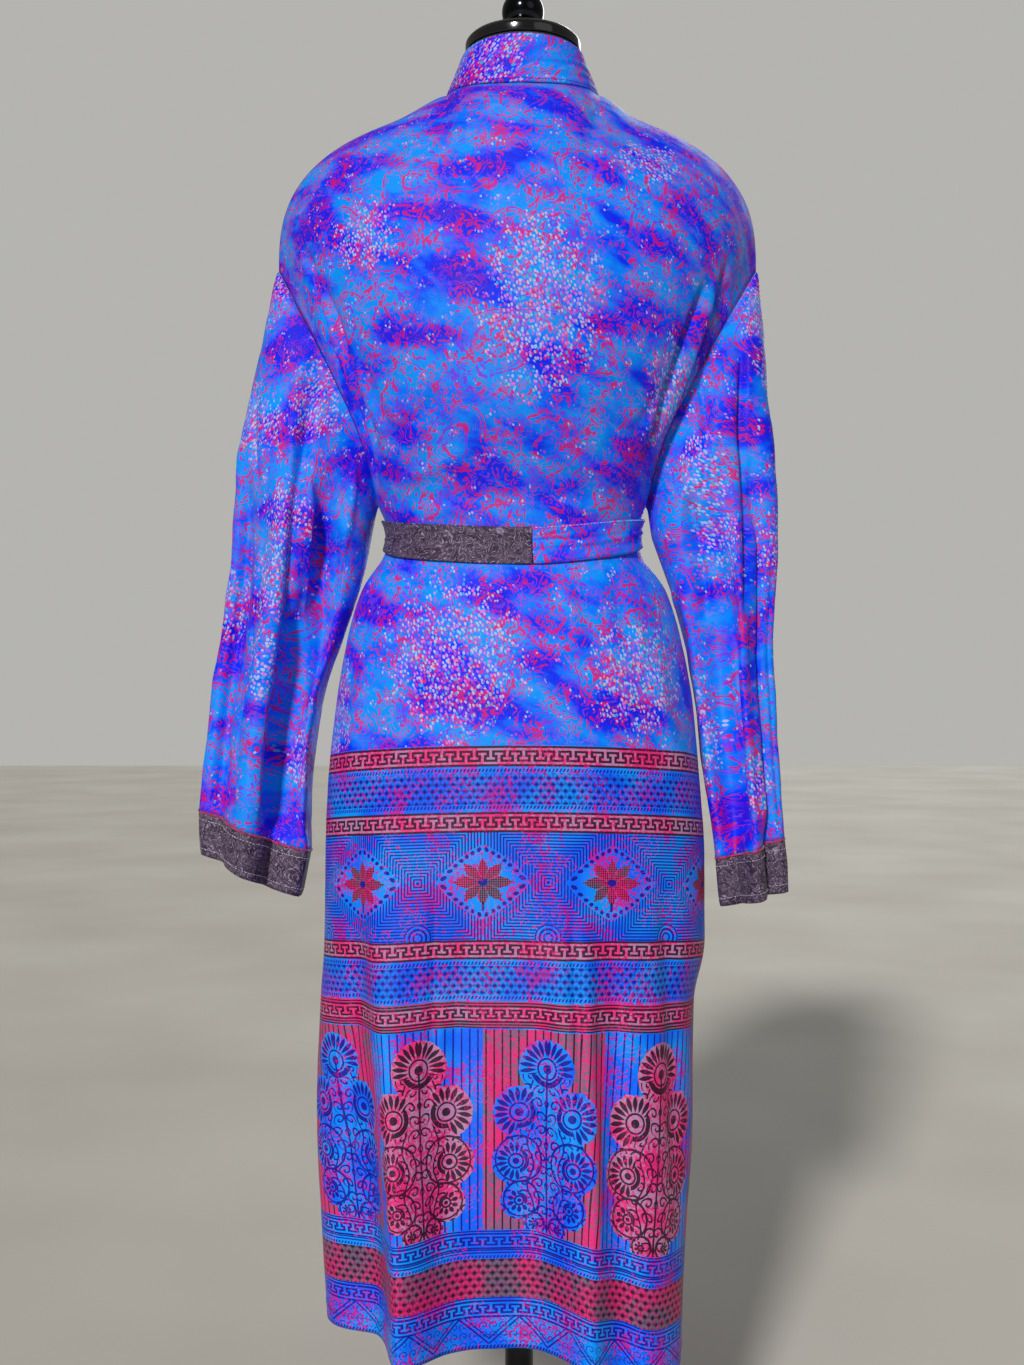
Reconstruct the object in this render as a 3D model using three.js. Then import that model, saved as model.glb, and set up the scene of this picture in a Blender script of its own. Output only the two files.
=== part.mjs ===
// A kimono robe of printed silk, tied with its sash, worn by a limbless dress form on a round-based stand.
// Millimetres, +Z up. The origin is the middle of the stand's underside; the wearer's front faces -Y
// and the wearer's left is +X. Every cloth piece is a thin wall laid on one of a few shared surfaces:
// the body's rows, the armhole loop, the neckline and the hanging sleeve rings.
import * as THREE from "three";
import { mergeVertices } from "three/addons/utils/BufferGeometryUtils.js";

// ---- driving dimensions -------------------------------------------------------------------------
const HEM_Z = 240; // the hem's height over the floor
const HEM_DROP = 26; // the hem hangs this much lower on the right
const DROP = { start: 40, across: 100, rise: 400 }; // how it spreads from the middle, and up from the hem
const SAG_RISE = 60; // the sides' sag is whole this far above the hem
const UNDERARM_Z = 1035; // where each armhole ends and the side seam starts
const CLOTH = 1.2; // wall of one layer of hanging silk
const BAND = 2.4; // the neckband is folded double over its seam allowance
const SASH = 2.0; // the sash is a sewn tube, pressed flat
const SEAM_GAP = 0.3; // between two pieces that are sewn edge to edge
const LEAST_MITRE = 0.65; // a mitred edge is at most its thickness over this
const UPPER_ROWS = 12; // rows of faces from the underarm up to the shoulder
const BACK_COLUMNS = 32;
const FRONT_COLUMNS = 14;
const BAND_COLUMNS = 3;
const BAND_SHARE = 0.84; // the front's width from the side to the neckband's seam, the rest is band
const SLEEVE_COLUMNS = 2 * UPPER_ROWS; // so that its points meet those of the armhole
const SLEEVE_ROWS = 12;
const CUFF_ROWS = 2;
const COLLAR_FACES = [20, 3]; // columns and rows of the neckband behind the neck
const SASH_FACES = [26, 2];
const TAIL_FACES = [6, 16];
const ROUND = { cap: 40, knob: 28, pole: 28, base: 56 }; // sides of the turned pieces

// The body below the underarm, a row for each level: half widths to the wearer's left and right,
// depth of the back and of the front at the middle, how square the section is (2 is an ellipse),
// and how far the sides hang below the middle, because the hips lift it.
const BODY = [
  { z: 240, left: 190, right: 159, back: 76, front: 96, square: 3.8, sag: 4 },
  { z: 330, left: 195, right: 163, back: 82, front: 98, square: 3.4, sag: 6 },
  { z: 440, left: 200, right: 171, back: 92, front: 102, square: 3, sag: 9 },
  { z: 560, left: 197, right: 173, back: 106, front: 104, square: 2.6, sag: 13 },
  { z: 620, left: 193, right: 184, back: 112, front: 105, square: 2.5, sag: 15 },
  { z: 700, left: 192, right: 184, back: 119, front: 107, square: 2.4, sag: 17 },
  { z: 780, left: 189, right: 179, back: 123, front: 109, square: 2.3, sag: 17 },
  { z: 850, left: 182, right: 173, back: 122, front: 109, square: 2.2, sag: 14 },
  { z: 910, left: 171, right: 161, back: 114, front: 105, square: 2.2, sag: 9 },
  { z: 955, left: 156, right: 146, back: 101, front: 97, square: 2.2, sag: 4 },
  { z: 985, left: 135, right: 123, back: 89, front: 90, square: 2.2, sag: 1 },
  { z: 1005, left: 129, right: 118, back: 87, front: 88, square: 2.2, sag: 0 },
  { z: 1035, left: 140, right: 126, back: 91, front: 94, square: 2.2, sag: 0 },
];

// The levels of the wall's rows: those of the table, and one between where they lie far apart.
const FAR = 85;
const LEVELS = BODY.flatMap(({ z }, k) => {
  const next = BODY[k + 1]?.z ?? z;
  return next - z > FAR ? [z, (z + next) / 2] : [z];
});
const LOWER_ROWS = LEVELS.length - 1;

// Folds of the skirt: crest lines from the level where each starts down to the hem. out is how far the
// crest stands out at the hem, and each flank has its own width.
const BACK_FOLDS = [
  { from: 800, xTop: 140, xHem: 112, out: 72, leftFlank: 13, rightFlank: 44 },
  { from: 760, xTop: -46, xHem: -62, out: 58, leftFlank: 38, rightFlank: 24 },
  { from: 700, xTop: -112, xHem: -118, out: 54, leftFlank: 44, rightFlank: 52 },
  { from: 700, xTop: 20, xHem: 24, out: 26, leftFlank: 60, rightFlank: 60 },
];
const FRONT_FOLDS = [
  { from: 880, xTop: 96, xHem: 118, out: 28, leftFlank: 20, rightFlank: 34 },
  { from: 820, xTop: 42, xHem: 48, out: 10, leftFlank: 24, rightFlank: 28 },
  { from: 860, xTop: -92, xHem: -120, out: 24, leftFlank: 28, rightFlank: 20 },
];
const SIDE_CALM = 0.35; // folds fade out towards the side seams, below this sine of the turn

// The armhole loop from underarm (0) to shoulder point (1): share of the way out and up, and how far
// each side of the loop stands off the middle.
const ARMHOLE = [
  { at: 0, out: 0, up: 0, back: 0, front: 0 },
  { at: 0.25, out: 0.14, up: 0.25, back: 31, front: 28 },
  { at: 0.5, out: 0.39, up: 0.5, back: 42, front: 38 },
  { at: 0.75, out: 0.7, up: 0.76, back: 31, front: 30 },
  { at: 1, out: 1, up: 1, back: -6, front: 6 },
];
const SHOULDER_POINT = { left: 241, right: 238, y: -6, z: 1272 };

// The neckline behind, from where the shoulder seam meets the neckband to the middle of the back.
const NECK_AT = 0.8; // share of the way from the shoulder point to the middle
const NECKLINE = [
  { at: NECK_AT, x: 76, y: 2, z: 1446 },
  { at: 0.86, x: 66, y: 30, z: 1441 },
  { at: 0.93, x: 39, y: 54, z: 1437 },
  { at: 1, x: 0, y: 63, z: 1435 },
];
const NECK_SHIFT = -4; // the form's neck leans this far to the wearer's right
const NECK_FOOT = 1425; // from this height up
const NECK_RISE = 25; // and the lean is whole this much higher
// The shoulder line, as if the back had no neckline: it rises over the form and stands off it behind.
const YOKE = { rise: 166, roundness: 0.72, back: 48 };
const NECK_SWEEP = 30; // how late the shoulder line sweeps up to the neck
const NECKLINE_FADE = 6; // how soon the neckline's shape fades out below it

// How far the upper back and each breast stand out between the underarm (0) and the shoulder (1).
const BULGE = [
  { at: 0, back: 0, front: 0 },
  { at: 0.2, back: 17, front: 8 },
  { at: 0.42, back: 29, front: 16 },
  { at: 0.6, back: 35, front: 16 },
  { at: 0.76, back: 35, front: 20 },
  { at: 0.9, back: 30, front: 22 },
  { at: 0.96, back: 19, front: 14 },
  { at: 1, back: 0, front: 0 },
];
const BREAST_SPAN = 1.1; // the breast's swell ends this much short of the free edge

// The neckband's free edge from the underarm's level (0) up to the side of the neck (1), for the left
// front; the right front mirrors it. Below, the edge and its seam run down to the hem.
const NECK_EDGE = [
  { at: 0, x: -46, y: -94, z: 1035 },
  { at: 0.2, x: -26, y: -113, z: 1124 },
  { at: 0.42, x: -2, y: -124, z: 1222 },
  { at: 0.64, x: 22, y: -112, z: 1320 },
  { at: 0.82, x: 41, y: -82, z: 1400 },
  { at: 0.93, x: 55, y: -44, z: 1452 },
  { at: 1, x: 61, y: 0, z: 1481 },
];
const OVERLAP = [
  { z: 240, seam: -18, edge: -68 },
  { z: 600, seam: -16, edge: -66 },
  { z: 900, seam: -12, edge: -62 },
  { z: 1005, seam: -2, edge: -52 },
  { z: 1035, seam: 4, edge: -46 },
];
// The right front lies this deep inside the left one where they cross: it sinks over a share of its
// width (start, across) and comes back out over a share of the neckband's upper edge (top, rise).
const UNDER_LAYER = { deep: 6, start: 0.3, across: 0.2, top: 0.42, rise: 0.3 };

const COLLAR_TOP = { backY: 57.8, z: 1485 }; // the neckband's free edge behind the neck
const BAND_LIFT = 0.7; // its seam lies this far above the neckline, which turns more sharply

// A sleeve's rings are this square, its folds grow over this share of its length and point this much
// along its slope. Its head follows the armhole loop outward and down, over a share of its length.
const RING = { square: 0.85, grow: 0.35, slope: 0.3 };
const SLEEVE_HEAD = { out: 0.92, down: 0.39, reach: 60, share: 0.12 };
const SLEEVE_CROWD = 1.15; // how much closer its rows lie near the armhole

// Hanging sleeves, a row for each ring from the armhole down: share of the length, outer edge, inner
// edge, how far the middle lies back (+Y), and the ring's depth behind and before that middle.
const SLEEVES = {
  left: [
    { at: 0, outX: 241, outZ: 1272, inX: 141, inZ: 1035, y: 0, back: 42, front: 38 },
    { at: 0.08, outX: 250, outZ: 1232, inX: 146, inZ: 1016, y: 0, back: 48, front: 42 },
    { at: 0.2, outX: 263, outZ: 1172, inX: 152, inZ: 988, y: -2, back: 54, front: 46 },
    { at: 0.36, outX: 277, outZ: 1092, inX: 162, inZ: 950, y: -6, back: 56, front: 46 },
    { at: 0.52, outX: 282, outZ: 1006, inX: 177, inZ: 900, y: -12, back: 54, front: 44 },
    { at: 0.68, outX: 293, outZ: 912, inX: 196, inZ: 842, y: -16, back: 52, front: 44 },
    { at: 0.84, outX: 305, outZ: 822, inX: 207, inZ: 768, y: -16, back: 50, front: 44 },
    { at: 1, outX: 315, outZ: 734, inX: 209, inZ: 692, y: -12, back: 46, front: 42 },
  ],
  right: [
    { at: 0, outX: 238, outZ: 1272, inX: 127, inZ: 1035, y: 0, back: 42, front: 38 },
    { at: 0.08, outX: 242, outZ: 1228, inX: 132, inZ: 1012, y: 0, back: 46, front: 42 },
    { at: 0.2, outX: 247, outZ: 1168, inX: 141, inZ: 982, y: -2, back: 50, front: 46 },
    { at: 0.36, outX: 254, outZ: 1088, inX: 156, inZ: 940, y: -6, back: 52, front: 48 },
    { at: 0.52, outX: 256, outZ: 1002, inX: 170, inZ: 884, y: -10, back: 50, front: 48 },
    { at: 0.68, outX: 252, outZ: 912, inX: 179, inZ: 822, y: -12, back: 48, front: 46 },
    { at: 0.84, outX: 256, outZ: 812, inX: 188, inZ: 752, y: -12, back: 46, front: 44 },
    { at: 1, outX: 262, outZ: 706, inX: 198, inZ: 686, y: -10, back: 42, front: 42 },
  ],
};
const CUFFS = {
  left: { outX: 313, outZ: 690, inX: 219, inZ: 646, y: -12, back: 43, front: 40 },
  right: { outX: 266, outZ: 653, inX: 203, inZ: 638, y: -10, back: 40, front: 40 },
};
const CUFF_START = 0.012; // share of the cuff's fall where it starts, a seam gap below the sleeve
// Lengthwise folds of the sleeves: turn round the ring (0 outer edge, 0.25 front, 0.5 inner edge, 0.75
// back), height over the ring, half width in turns, and where down the sleeve the fold begins.
const SLEEVE_FOLDS = {
  left: [
    { turn: 0.94, out: 7, width: 0.035, from: 0.15 },
    { turn: 0.87, out: -7, width: 0.03, from: 0.3 },
    { turn: 0.76, out: 11, width: 0.045, from: 0.1 },
    { turn: 0.67, out: -16, width: 0.04, from: 0.05 },
    { turn: 0.59, out: 8, width: 0.035, from: 0.2 },
    { turn: 0.41, out: -9, width: 0.04, from: 0.1 },
    { turn: 0.32, out: 8, width: 0.045, from: 0.25 },
    { turn: 0.22, out: -12, width: 0.045, from: 0.15 },
    { turn: 0.12, out: 8, width: 0.04, from: 0.3 },
  ],
  right: [
    { turn: 0.93, out: 5, width: 0.04, from: 0.1 },
    { turn: 0.84, out: -14, width: 0.035, from: 0.05 },
    { turn: 0.75, out: 9, width: 0.04, from: 0.1 },
    { turn: 0.65, out: -9, width: 0.035, from: 0.3 },
    { turn: 0.57, out: 7, width: 0.03, from: 0.2 },
    { turn: 0.42, out: -8, width: 0.04, from: 0.2 },
    { turn: 0.33, out: 9, width: 0.05, from: 0.1 },
    { turn: 0.21, out: -13, width: 0.045, from: 0.2 },
    { turn: 0.11, out: 7, width: 0.04, from: 0.3 },
  ],
};

// The sash round the waist: height of its middle and its width, by turn (0 at the wearer's left side,
// 0.25 behind, 0.5 at the right side, 0.75 in front).
const SASH_LINE = [
  { turn: 0, z: 1008, width: 27 },
  { turn: 0.1, z: 997, width: 33 },
  { turn: 0.25, z: 989, width: 35 },
  { turn: 0.4, z: 1000, width: 33 },
  { turn: 0.5, z: 1008, width: 27 },
  { turn: 0.62, z: 1008, width: 27 },
  { turn: 0.75, z: 1004, width: 24 },
  { turn: 0.88, z: 1008, width: 27 },
  { turn: 1, z: 1008, width: 27 },
];
const SASH_JOIN = 0.265; // turn where the plain cloth is pieced to the printed cloth, behind
const SASH_KNOT = 0.75; // turn of the knot, in front
const SASH_SEAM = 0.0005; // turns that each stretch stops short of the join
const SASH_END = 0.012; // turns that each stretch stops short of the knot's middle
const SASH_CLEAR = 1.9; // from the robe's outer face to the sash's inner face
const KNOT = { x: 0, z: 1003, across: 40, tall: 36, deep: 22, sink: 1.1, pinch: 0.16, columns: 18, rows: 12 };
// The hanging ends: where each leaves the knot and how wide, where and over which share of its length
// it has opened, its ripple, and how far it keeps off the front, also of the cloth beside and below it.
const TAIL = { x: 9, width: 12, openX: 24, open: 0.22, settle: 0.12, ripple: 3, turns: 3, clear: 5 };
const TAIL_CLEAR = [
  { across: 1, down: 0 },
  { across: 0.6, down: -25 },
  { across: 1.15, down: 25 },
];
const TAILS = [
  { name: "sash_tail_left", side: 1, length: 430, width: 38, lean: 34 },
  { name: "sash_tail_right", side: -1, length: 395, width: 38, lean: 26 },
];

// The dress form, a row for each level.
const FORM = [
  { z: 742, side: 132, back: 84, front: 78 },
  { z: 752, side: 148, back: 98, front: 90 },
  { z: 790, side: 155, back: 106, front: 96 },
  { z: 850, side: 154, back: 106, front: 96 },
  { z: 920, side: 136, back: 92, front: 88 },
  { z: 1000, side: 109, back: 75, front: 76 },
  { z: 1090, side: 116, back: 80, front: 86 },
  { z: 1190, side: 134, back: 90, front: 98 },
  { z: 1260, side: 142, back: 94, front: 98 },
  { z: 1320, side: 152, back: 88, front: 80 },
  { z: 1350, side: 166, back: 62, front: 56 },
  { z: 1372, side: 152, back: 50, front: 44 },
  { z: 1392, side: 118, back: 48, front: 42 },
  { z: 1410, side: 84, back: 50, front: 46 },
  { z: 1426, side: 64, back: 52, front: 50 },
  { z: 1446, side: 56, back: 54, front: 54 },
  { z: 1488, side: 55, back: 55, front: 55 },
];
const FORM_COLUMNS = 40;
const FORM_FAR = 60; // levels that lie further apart get a row between them
const NECK_CAP = { radius: 57.5, tall: 14, round: 6, bevel: 2 };
const KNOB = { flange: 23, thick: 3, radius: 21, neck: 14, flare: 4, rise: 6, steps: 10, firstStep: 2 };
const POLE = { radius: 14 };
const BASE = {
  radius: 190,
  rim: 8,
  slope: 8,
  lip: 4,
  tall: 16,
  foot: 14,
  boss: 30,
  collar: 6,
  bossTop: 22,
  bossTall: 34,
};

const COLOURS = {
  print: new THREE.Color(0.16, 0.22, 0.86),
  plain: new THREE.Color(0.16, 0.13, 0.17),
  cover: new THREE.Color(0.02, 0.02, 0.025),
  metal: new THREE.Color(0.03, 0.03, 0.035),
};

// ---- small helpers ------------------------------------------------------------------------------
const lerp = (a, b, t) => a + (b - a) * t;
const clamp = (t) => Math.min(1, Math.max(0, t));
const smooth = (t) => clamp(t) ** 2 * (3 - 2 * clamp(t));
const toward = (a, b, t) => a.clone().lerp(b, t);
const DEPTH = new THREE.Vector3(0, 1, 0); // straight back through the robe

// One column of a table at a value of another, as a curve that never overshoots its rows.
function read(table, column, along, value) {
  const x = table.map((row) => row[along]);
  const y = table.map((row) => row[column]);
  const last = x.length - 1;
  if (value <= x[0]) return y[0];
  if (value >= x[last]) return y[last];
  let i = 0;
  while (value > x[i + 1]) i++;
  const rise = (k) => (y[k + 1] - y[k]) / (x[k + 1] - x[k]);
  const slope = (k) => {
    if (k === 0) return rise(0);
    if (k === last) return rise(last - 1);
    const [before, after] = [rise(k - 1), rise(k)];
    return before * after <= 0 ? 0 : (2 * before * after) / (before + after);
  };
  const [h, t] = [x[i + 1] - x[i], (value - x[i]) / (x[i + 1] - x[i])];
  return (
    y[i] * (1 + 2 * t) * (1 - t) ** 2 +
    slope(i) * h * t * (1 - t) ** 2 +
    y[i + 1] * t * t * (3 - 2 * t) +
    slope(i + 1) * h * t * t * (t - 1)
  );
}

// A grid of points as a closed wall: its columns run to the right as seen from outside and its rows run
// up, point gives the face seen from outside, and the inner face lies thickness behind it. round joins
// the last column to the first. sewn names the edges that stop half a seam gap short.
// mitre gives the way out at an edge that meets another piece at an angle (top, start or end), from the
// way along that edge.
function wall(columns, rows, point, thickness, { round = false, mitre = {}, sewn = [] } = {}) {
  const outer = [];
  for (let j = 0; j <= rows; j++)
    for (let i = 0; i <= columns; i++) outer.push(point(i / columns, j / rows));
  const draw = (from, to) => {
    const [edge, next] = [outer[from], outer[to]];
    edge.add(next.clone().sub(edge).setLength(SEAM_GAP / 2));
  };
  const size = outer.length;
  const across = columns + 1;
  for (let k = 0; k < size; k += across) {
    if (sewn.includes("start")) draw(k, k + 1);
    if (sewn.includes("end")) draw(k + columns, k + columns - 1);
  }
  for (let k = 0; k < across; k++) {
    if (sewn.includes("bottom")) draw(k, k + across);
    if (sewn.includes("top")) draw(size - 1 - k, size - 1 - k - across);
  }
  const at = (i, j) => {
    const wrapped = round ? (i + columns) % columns : Math.min(columns, Math.max(0, i));
    return outer[Math.min(rows, Math.max(0, j)) * (columns + 1) + wrapped];
  };
  const inner = [];
  for (let j = 0; j <= rows; j++)
    for (let i = 0; i <= columns; i++) {
      const right = at(i + 1, j).clone().sub(at(i - 1, j));
      const up = at(i, j + 1).clone().sub(at(i, j - 1));
      const normal = right.clone().cross(up).normalize();
      const edge = (j === rows && mitre.top) || (i === 0 && mitre.start) || (i === columns && mitre.end);
      const way = edge ? edge(right).normalize() : normal;
      const depth = thickness / Math.max(LEAST_MITRE, way.dot(normal));
      inner.push(at(i, j).clone().addScaledVector(way, -depth));
    }
  const faces = [];
  const quad = (a, b, c, d) => faces.push(a, b, c, a, c, d);
  const id = (i, j) => j * (columns + 1) + (round ? i % columns : i);
  for (let j = 0; j < rows; j++)
    for (let i = 0; i < columns; i++) {
      quad(id(i, j), id(i + 1, j), id(i + 1, j + 1), id(i, j + 1));
      quad(size + id(i, j), size + id(i, j + 1), size + id(i + 1, j + 1), size + id(i + 1, j));
    }
  for (let i = 0; i < columns; i++) {
    quad(id(i + 1, 0), id(i, 0), size + id(i, 0), size + id(i + 1, 0));
    quad(id(i, rows), id(i + 1, rows), size + id(i + 1, rows), size + id(i, rows));
  }
  if (!round)
    for (let j = 0; j < rows; j++) {
      quad(id(0, j), id(0, j + 1), size + id(0, j + 1), size + id(0, j));
      quad(id(columns, j + 1), id(columns, j), size + id(columns, j), size + id(columns, j + 1));
    }
  return solid([...outer, ...inner], faces);
}

// Points and faces as one closed geometry with no unused vertex.
function solid(points, faces) {
  const made = new THREE.BufferGeometry().setFromPoints(points);
  made.setIndex(faces);
  const loose = made.toNonIndexed();
  const merged = mergeVertices(loose, 1e-3);
  merged.computeVertexNormals();
  return merged;
}

// ---- the robe's surfaces ------------------------------------------------------------------------
// How far the folds in a list stand out at a place on the skirt.
function foldHeight(folds, x, z) {
  let height = 0;
  for (const fold of folds) {
    const grown = smooth((fold.from - z) / (fold.from - HEM_Z));
    const away = x - lerp(fold.xTop, fold.xHem, grown);
    const flank = away > 0 ? fold.leftFlank : fold.rightFlank;
    height += fold.out * grown * Math.exp(-((away / flank) ** 2));
  }
  return height;
}

// A point of the body below the underarm. angle runs from the wearer's left side (0) over the back
// (half a turn) to the right side and on round the front.
function bodyPoint(angle, level, inset = 0) {
  const [c, s] = [Math.cos(angle), Math.sin(angle)];
  const row = (column) => read(BODY, column, "z", level);
  const x = c * (row(c > 0 ? "left" : "right") - inset);
  const depth = Math.max(0, 1 - Math.abs(c) ** row("square")) ** (1 / row("square"));
  const clear = smooth(Math.abs(s) / SIDE_CALM);
  const up = level - HEM_Z;
  const drop = HEM_DROP * smooth((-x - DROP.start) / DROP.across) * (1 - smooth(up / DROP.rise));
  const z = level - drop - row("sag") * (1 - Math.abs(s)) * smooth(up / SAG_RISE);
  const y = s > 0
    ? depth * (row("back") - inset) + clear * foldHeight(BACK_FOLDS, x, level)
    : -depth * (row("front") - inset) - clear * foldHeight(FRONT_FOLDS, x, level);
  return new THREE.Vector3(x, y, z);
}

// A point of the armhole loop: side is 1 for the left and -1 for the right, up runs from the underarm
// (0) to the shoulder point (1), and face says which side of the loop.
function armholePoint(side, up, face) {
  const underarm = side > 0 ? BODY.at(-1).left : BODY.at(-1).right;
  const shoulder = side > 0 ? SHOULDER_POINT.left : SHOULDER_POINT.right;
  const row = (column) => read(ARMHOLE, column, "at", up);
  return new THREE.Vector3(
    side * lerp(underarm, shoulder, row("out")),
    face === "back" ? row("back") : -row("front"),
    lerp(UNDERARM_Z, SHOULDER_POINT.z, row("up")),
  );
}

// The neck leans to one side.
const leaned = (p) => p.setX(p.x + NECK_SHIFT * smooth((p.z - NECK_FOOT) / NECK_RISE));

// The shoulder line without its neckline: side is 1 or -1, and along runs from the shoulder point (0)
// to the middle of the back (1).
function yokePoint(side, along) {
  const [c, s] = [Math.cos((along * Math.PI) / 2), Math.sin((along * Math.PI) / 2)];
  const reach = side > 0 ? SHOULDER_POINT.left : SHOULDER_POINT.right;
  const { y, z } = SHOULDER_POINT;
  return new THREE.Vector3(side * reach * c, y * (1 - s), z + YOKE.rise * s ** YOKE.roundness);
}

// A point of the shoulder seam and back neck, from the shoulder point (0) to the middle back (1).
function shoulderPoint(side, along) {
  if (along <= NECK_AT) {
    const neck = new THREE.Vector3(side * NECKLINE[0].x, NECKLINE[0].y, NECKLINE[0].z);
    const off = neck.sub(yokePoint(side, NECK_AT));
    return leaned(yokePoint(side, along).addScaledVector(off, smooth(along / NECK_AT) ** NECK_SWEEP));
  }
  const row = (column) => read(NECKLINE, column, "at", along);
  return leaned(new THREE.Vector3(side * row("x"), row("y"), row("z")));
}

// The surface that fills four boundary curves: low and high run across, start and end run up.
function patch(low, high, start, end, u, v) {
  const p = toward(low(u), high(u), v).add(toward(start(v), end(v), u));
  return p.sub(toward(toward(low(0), low(1), u), toward(high(0), high(1), u), v));
}

// The back panel: u runs from the left edge (0) to the right (1), v from the underarm (0) up (1). The
// neckline's shape fades out within a hand's width below it.
function upperBack(u, v) {
  const [side, along] = [u < 0.5 ? 1 : -1, 1 - Math.abs(2 * u - 1)];
  const plain = (a) => {
    const p = yokePoint(a < 0.5 ? 1 : -1, 1 - Math.abs(2 * a - 1));
    return p.setY(p.y + YOKE.back * Math.sin(a * Math.PI));
  };
  const p = patch(
    (a) => bodyPoint(a * Math.PI, UNDERARM_Z),
    plain,
    (b) => armholePoint(1, b, "back"),
    (b) => armholePoint(-1, b, "back"),
    u,
    v,
  );
  p.y += read(BULGE, "back", "at", v) * Math.sin(Math.PI * u);
  return p.addScaledVector(shoulderPoint(side, along).sub(plain(u)), v ** NECKLINE_FADE);
}

// One front: u runs from the side or armhole (0) over the band's seam (BAND_SHARE) to the free edge (1).
function lowerFront(side, u, level) {
  const { deep, start: from, across } = UNDER_LAYER;
  const inset = side > 0 ? 0 : deep * smooth((u - from) / across);
  const seam = side * read(OVERLAP, "seam", "z", level);
  const edge = side * read(OVERLAP, "edge", "z", level);
  const widths = (x) => read(BODY, x > 0 ? "left" : "right", "z", level);
  const turn = (x) => Math.acos(x / widths(x));
  const start = side > 0 ? 0 : Math.PI;
  const angle = u < BAND_SHARE
    ? lerp(start, turn(seam), u / BAND_SHARE)
    : lerp(turn(seam), turn(edge), (u - BAND_SHARE) / (1 - BAND_SHARE));
  return bodyPoint(-angle, level, inset);
}

// A point of the neckband's free edge, from the underarm's level (0) up to the side of the neck (1).
function neckEdge(side, up) {
  const row = (column) => read(NECK_EDGE, column, "at", up);
  const { deep, top, rise } = UNDER_LAYER;
  const inset = side > 0 ? 0 : deep * (1 - smooth((up - top) / rise));
  return leaned(new THREE.Vector3(side * row("x"), row("y") + inset, row("z")));
}

// A front above the underarm, with u as below and v from the underarm (0) up to the shoulder (1).
function upperFront(side, u, v) {
  const neck = shoulderPoint(side, NECK_AT);
  const p = patch(
    (a) => lowerFront(side, a, UNDERARM_Z),
    (a) =>
      a < BAND_SHARE
        ? shoulderPoint(side, (NECK_AT * a) / BAND_SHARE)
        : toward(neck, neckEdge(side, 1), (a - BAND_SHARE) / (1 - BAND_SHARE)),
    (b) => armholePoint(side, b, "front"),
    (b) => neckEdge(side, b),
    u,
    v,
  );
  p.y -= read(BULGE, "front", "at", v) * Math.sin(Math.PI * Math.min(1, u * BREAST_SPAN)) ** 2;
  return p;
}

// The level of a row, counted from the hem and whole or not.
function levelAt(row) {
  const below = Math.min(LOWER_ROWS - 1, Math.floor(row));
  return lerp(LEVELS[below], LEVELS[below + 1], row - below);
}

// Rows from hem to shoulder in one run: the lower rows, then the upper ones.
function bodyRows(lower, upper) {
  const rows = LOWER_ROWS + UPPER_ROWS;
  return (u, t) => {
    const row = t * rows;
    return row <= LOWER_ROWS
      ? lower(u, levelAt(row))
      : upper(u, (row - LOWER_ROWS) / UPPER_ROWS);
  };
}

// ---- the pieces ---------------------------------------------------------------------------------
// A wall's columns run to the right seen from outside, which is towards the side on the left half only.
const fromSide = (side, u) => (side > 0 ? 1 - u : u);

function backPanel() {
  const surface = bodyRows(
    (u, level) => bodyPoint(u * Math.PI, level),
    upperBack,
  );
  const top = (across) => DEPTH.clone().cross(across);
  const sewn = ["start", "end", "top"];
  return wall(BACK_COLUMNS, LOWER_ROWS + UPPER_ROWS, surface, CLOTH, { mitre: { top }, sewn });
}

function frontSurface(side) {
  return bodyRows(
    (u, level) => lowerFront(side, u, level),
    (u, v) => upperFront(side, u, v),
  );
}

function frontPanel(side) {
  const surface = frontSurface(side);
  const point = (u, t) => surface(fromSide(side, u) * BAND_SHARE, t);
  const top = (across) => across.clone().cross(DEPTH);
  const sewn = ["start", "end", "top"];
  return wall(FRONT_COLUMNS, LOWER_ROWS + UPPER_ROWS, point, CLOTH, { mitre: { top }, sewn });
}

function frontBand(side) {
  const surface = frontSurface(side);
  const point = (u, t) => surface(lerp(BAND_SHARE, 1, fromSide(side, u)), t);
  const top = () => new THREE.Vector3(side, 0, 0);
  const sewn = [side > 0 ? "end" : "start", "top"];
  return wall(BAND_COLUMNS, LOWER_ROWS + UPPER_ROWS, point, BAND, { mitre: { top }, sewn });
}

// The neckband behind the neck: it stands from the neck seam to its free edge.
function backBand() {
  const base = (u) => {
    const along = 1 - Math.abs(2 * u - 1);
    const p = shoulderPoint(u < 0.5 ? 1 : -1, lerp(NECK_AT, 1, along));
    return p.setZ(p.z + BAND_LIFT);
  };
  const top = (u) => {
    const start = neckEdge(1, 1);
    const angle = u * Math.PI;
    return new THREE.Vector3(
      Math.cos(angle) * (start.x - NECK_SHIFT) + NECK_SHIFT,
      Math.sin(angle) * COLLAR_TOP.backY,
      lerp(start.z, COLLAR_TOP.z, Math.sin(angle)),
    );
  };
  const point = (u, t) => toward(base(u), top(u), t);
  const start = () => new THREE.Vector3(1, 0, 0);
  const end = () => new THREE.Vector3(-1, 0, 0);
  return wall(...COLLAR_FACES, point, BAND, { mitre: { start, end }, sewn: ["start", "end", "bottom"] });
}

function sleeveRing(side, name, at) {
  const row = (column) => read(SLEEVES[name], column, "at", at);
  return {
    outer: new THREE.Vector3(side * row("outX"), row("y"), row("outZ")),
    inner: new THREE.Vector3(side * row("inX"), row("y"), row("inZ")),
    back: row("back"),
    front: row("front"),
  };
}

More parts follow.
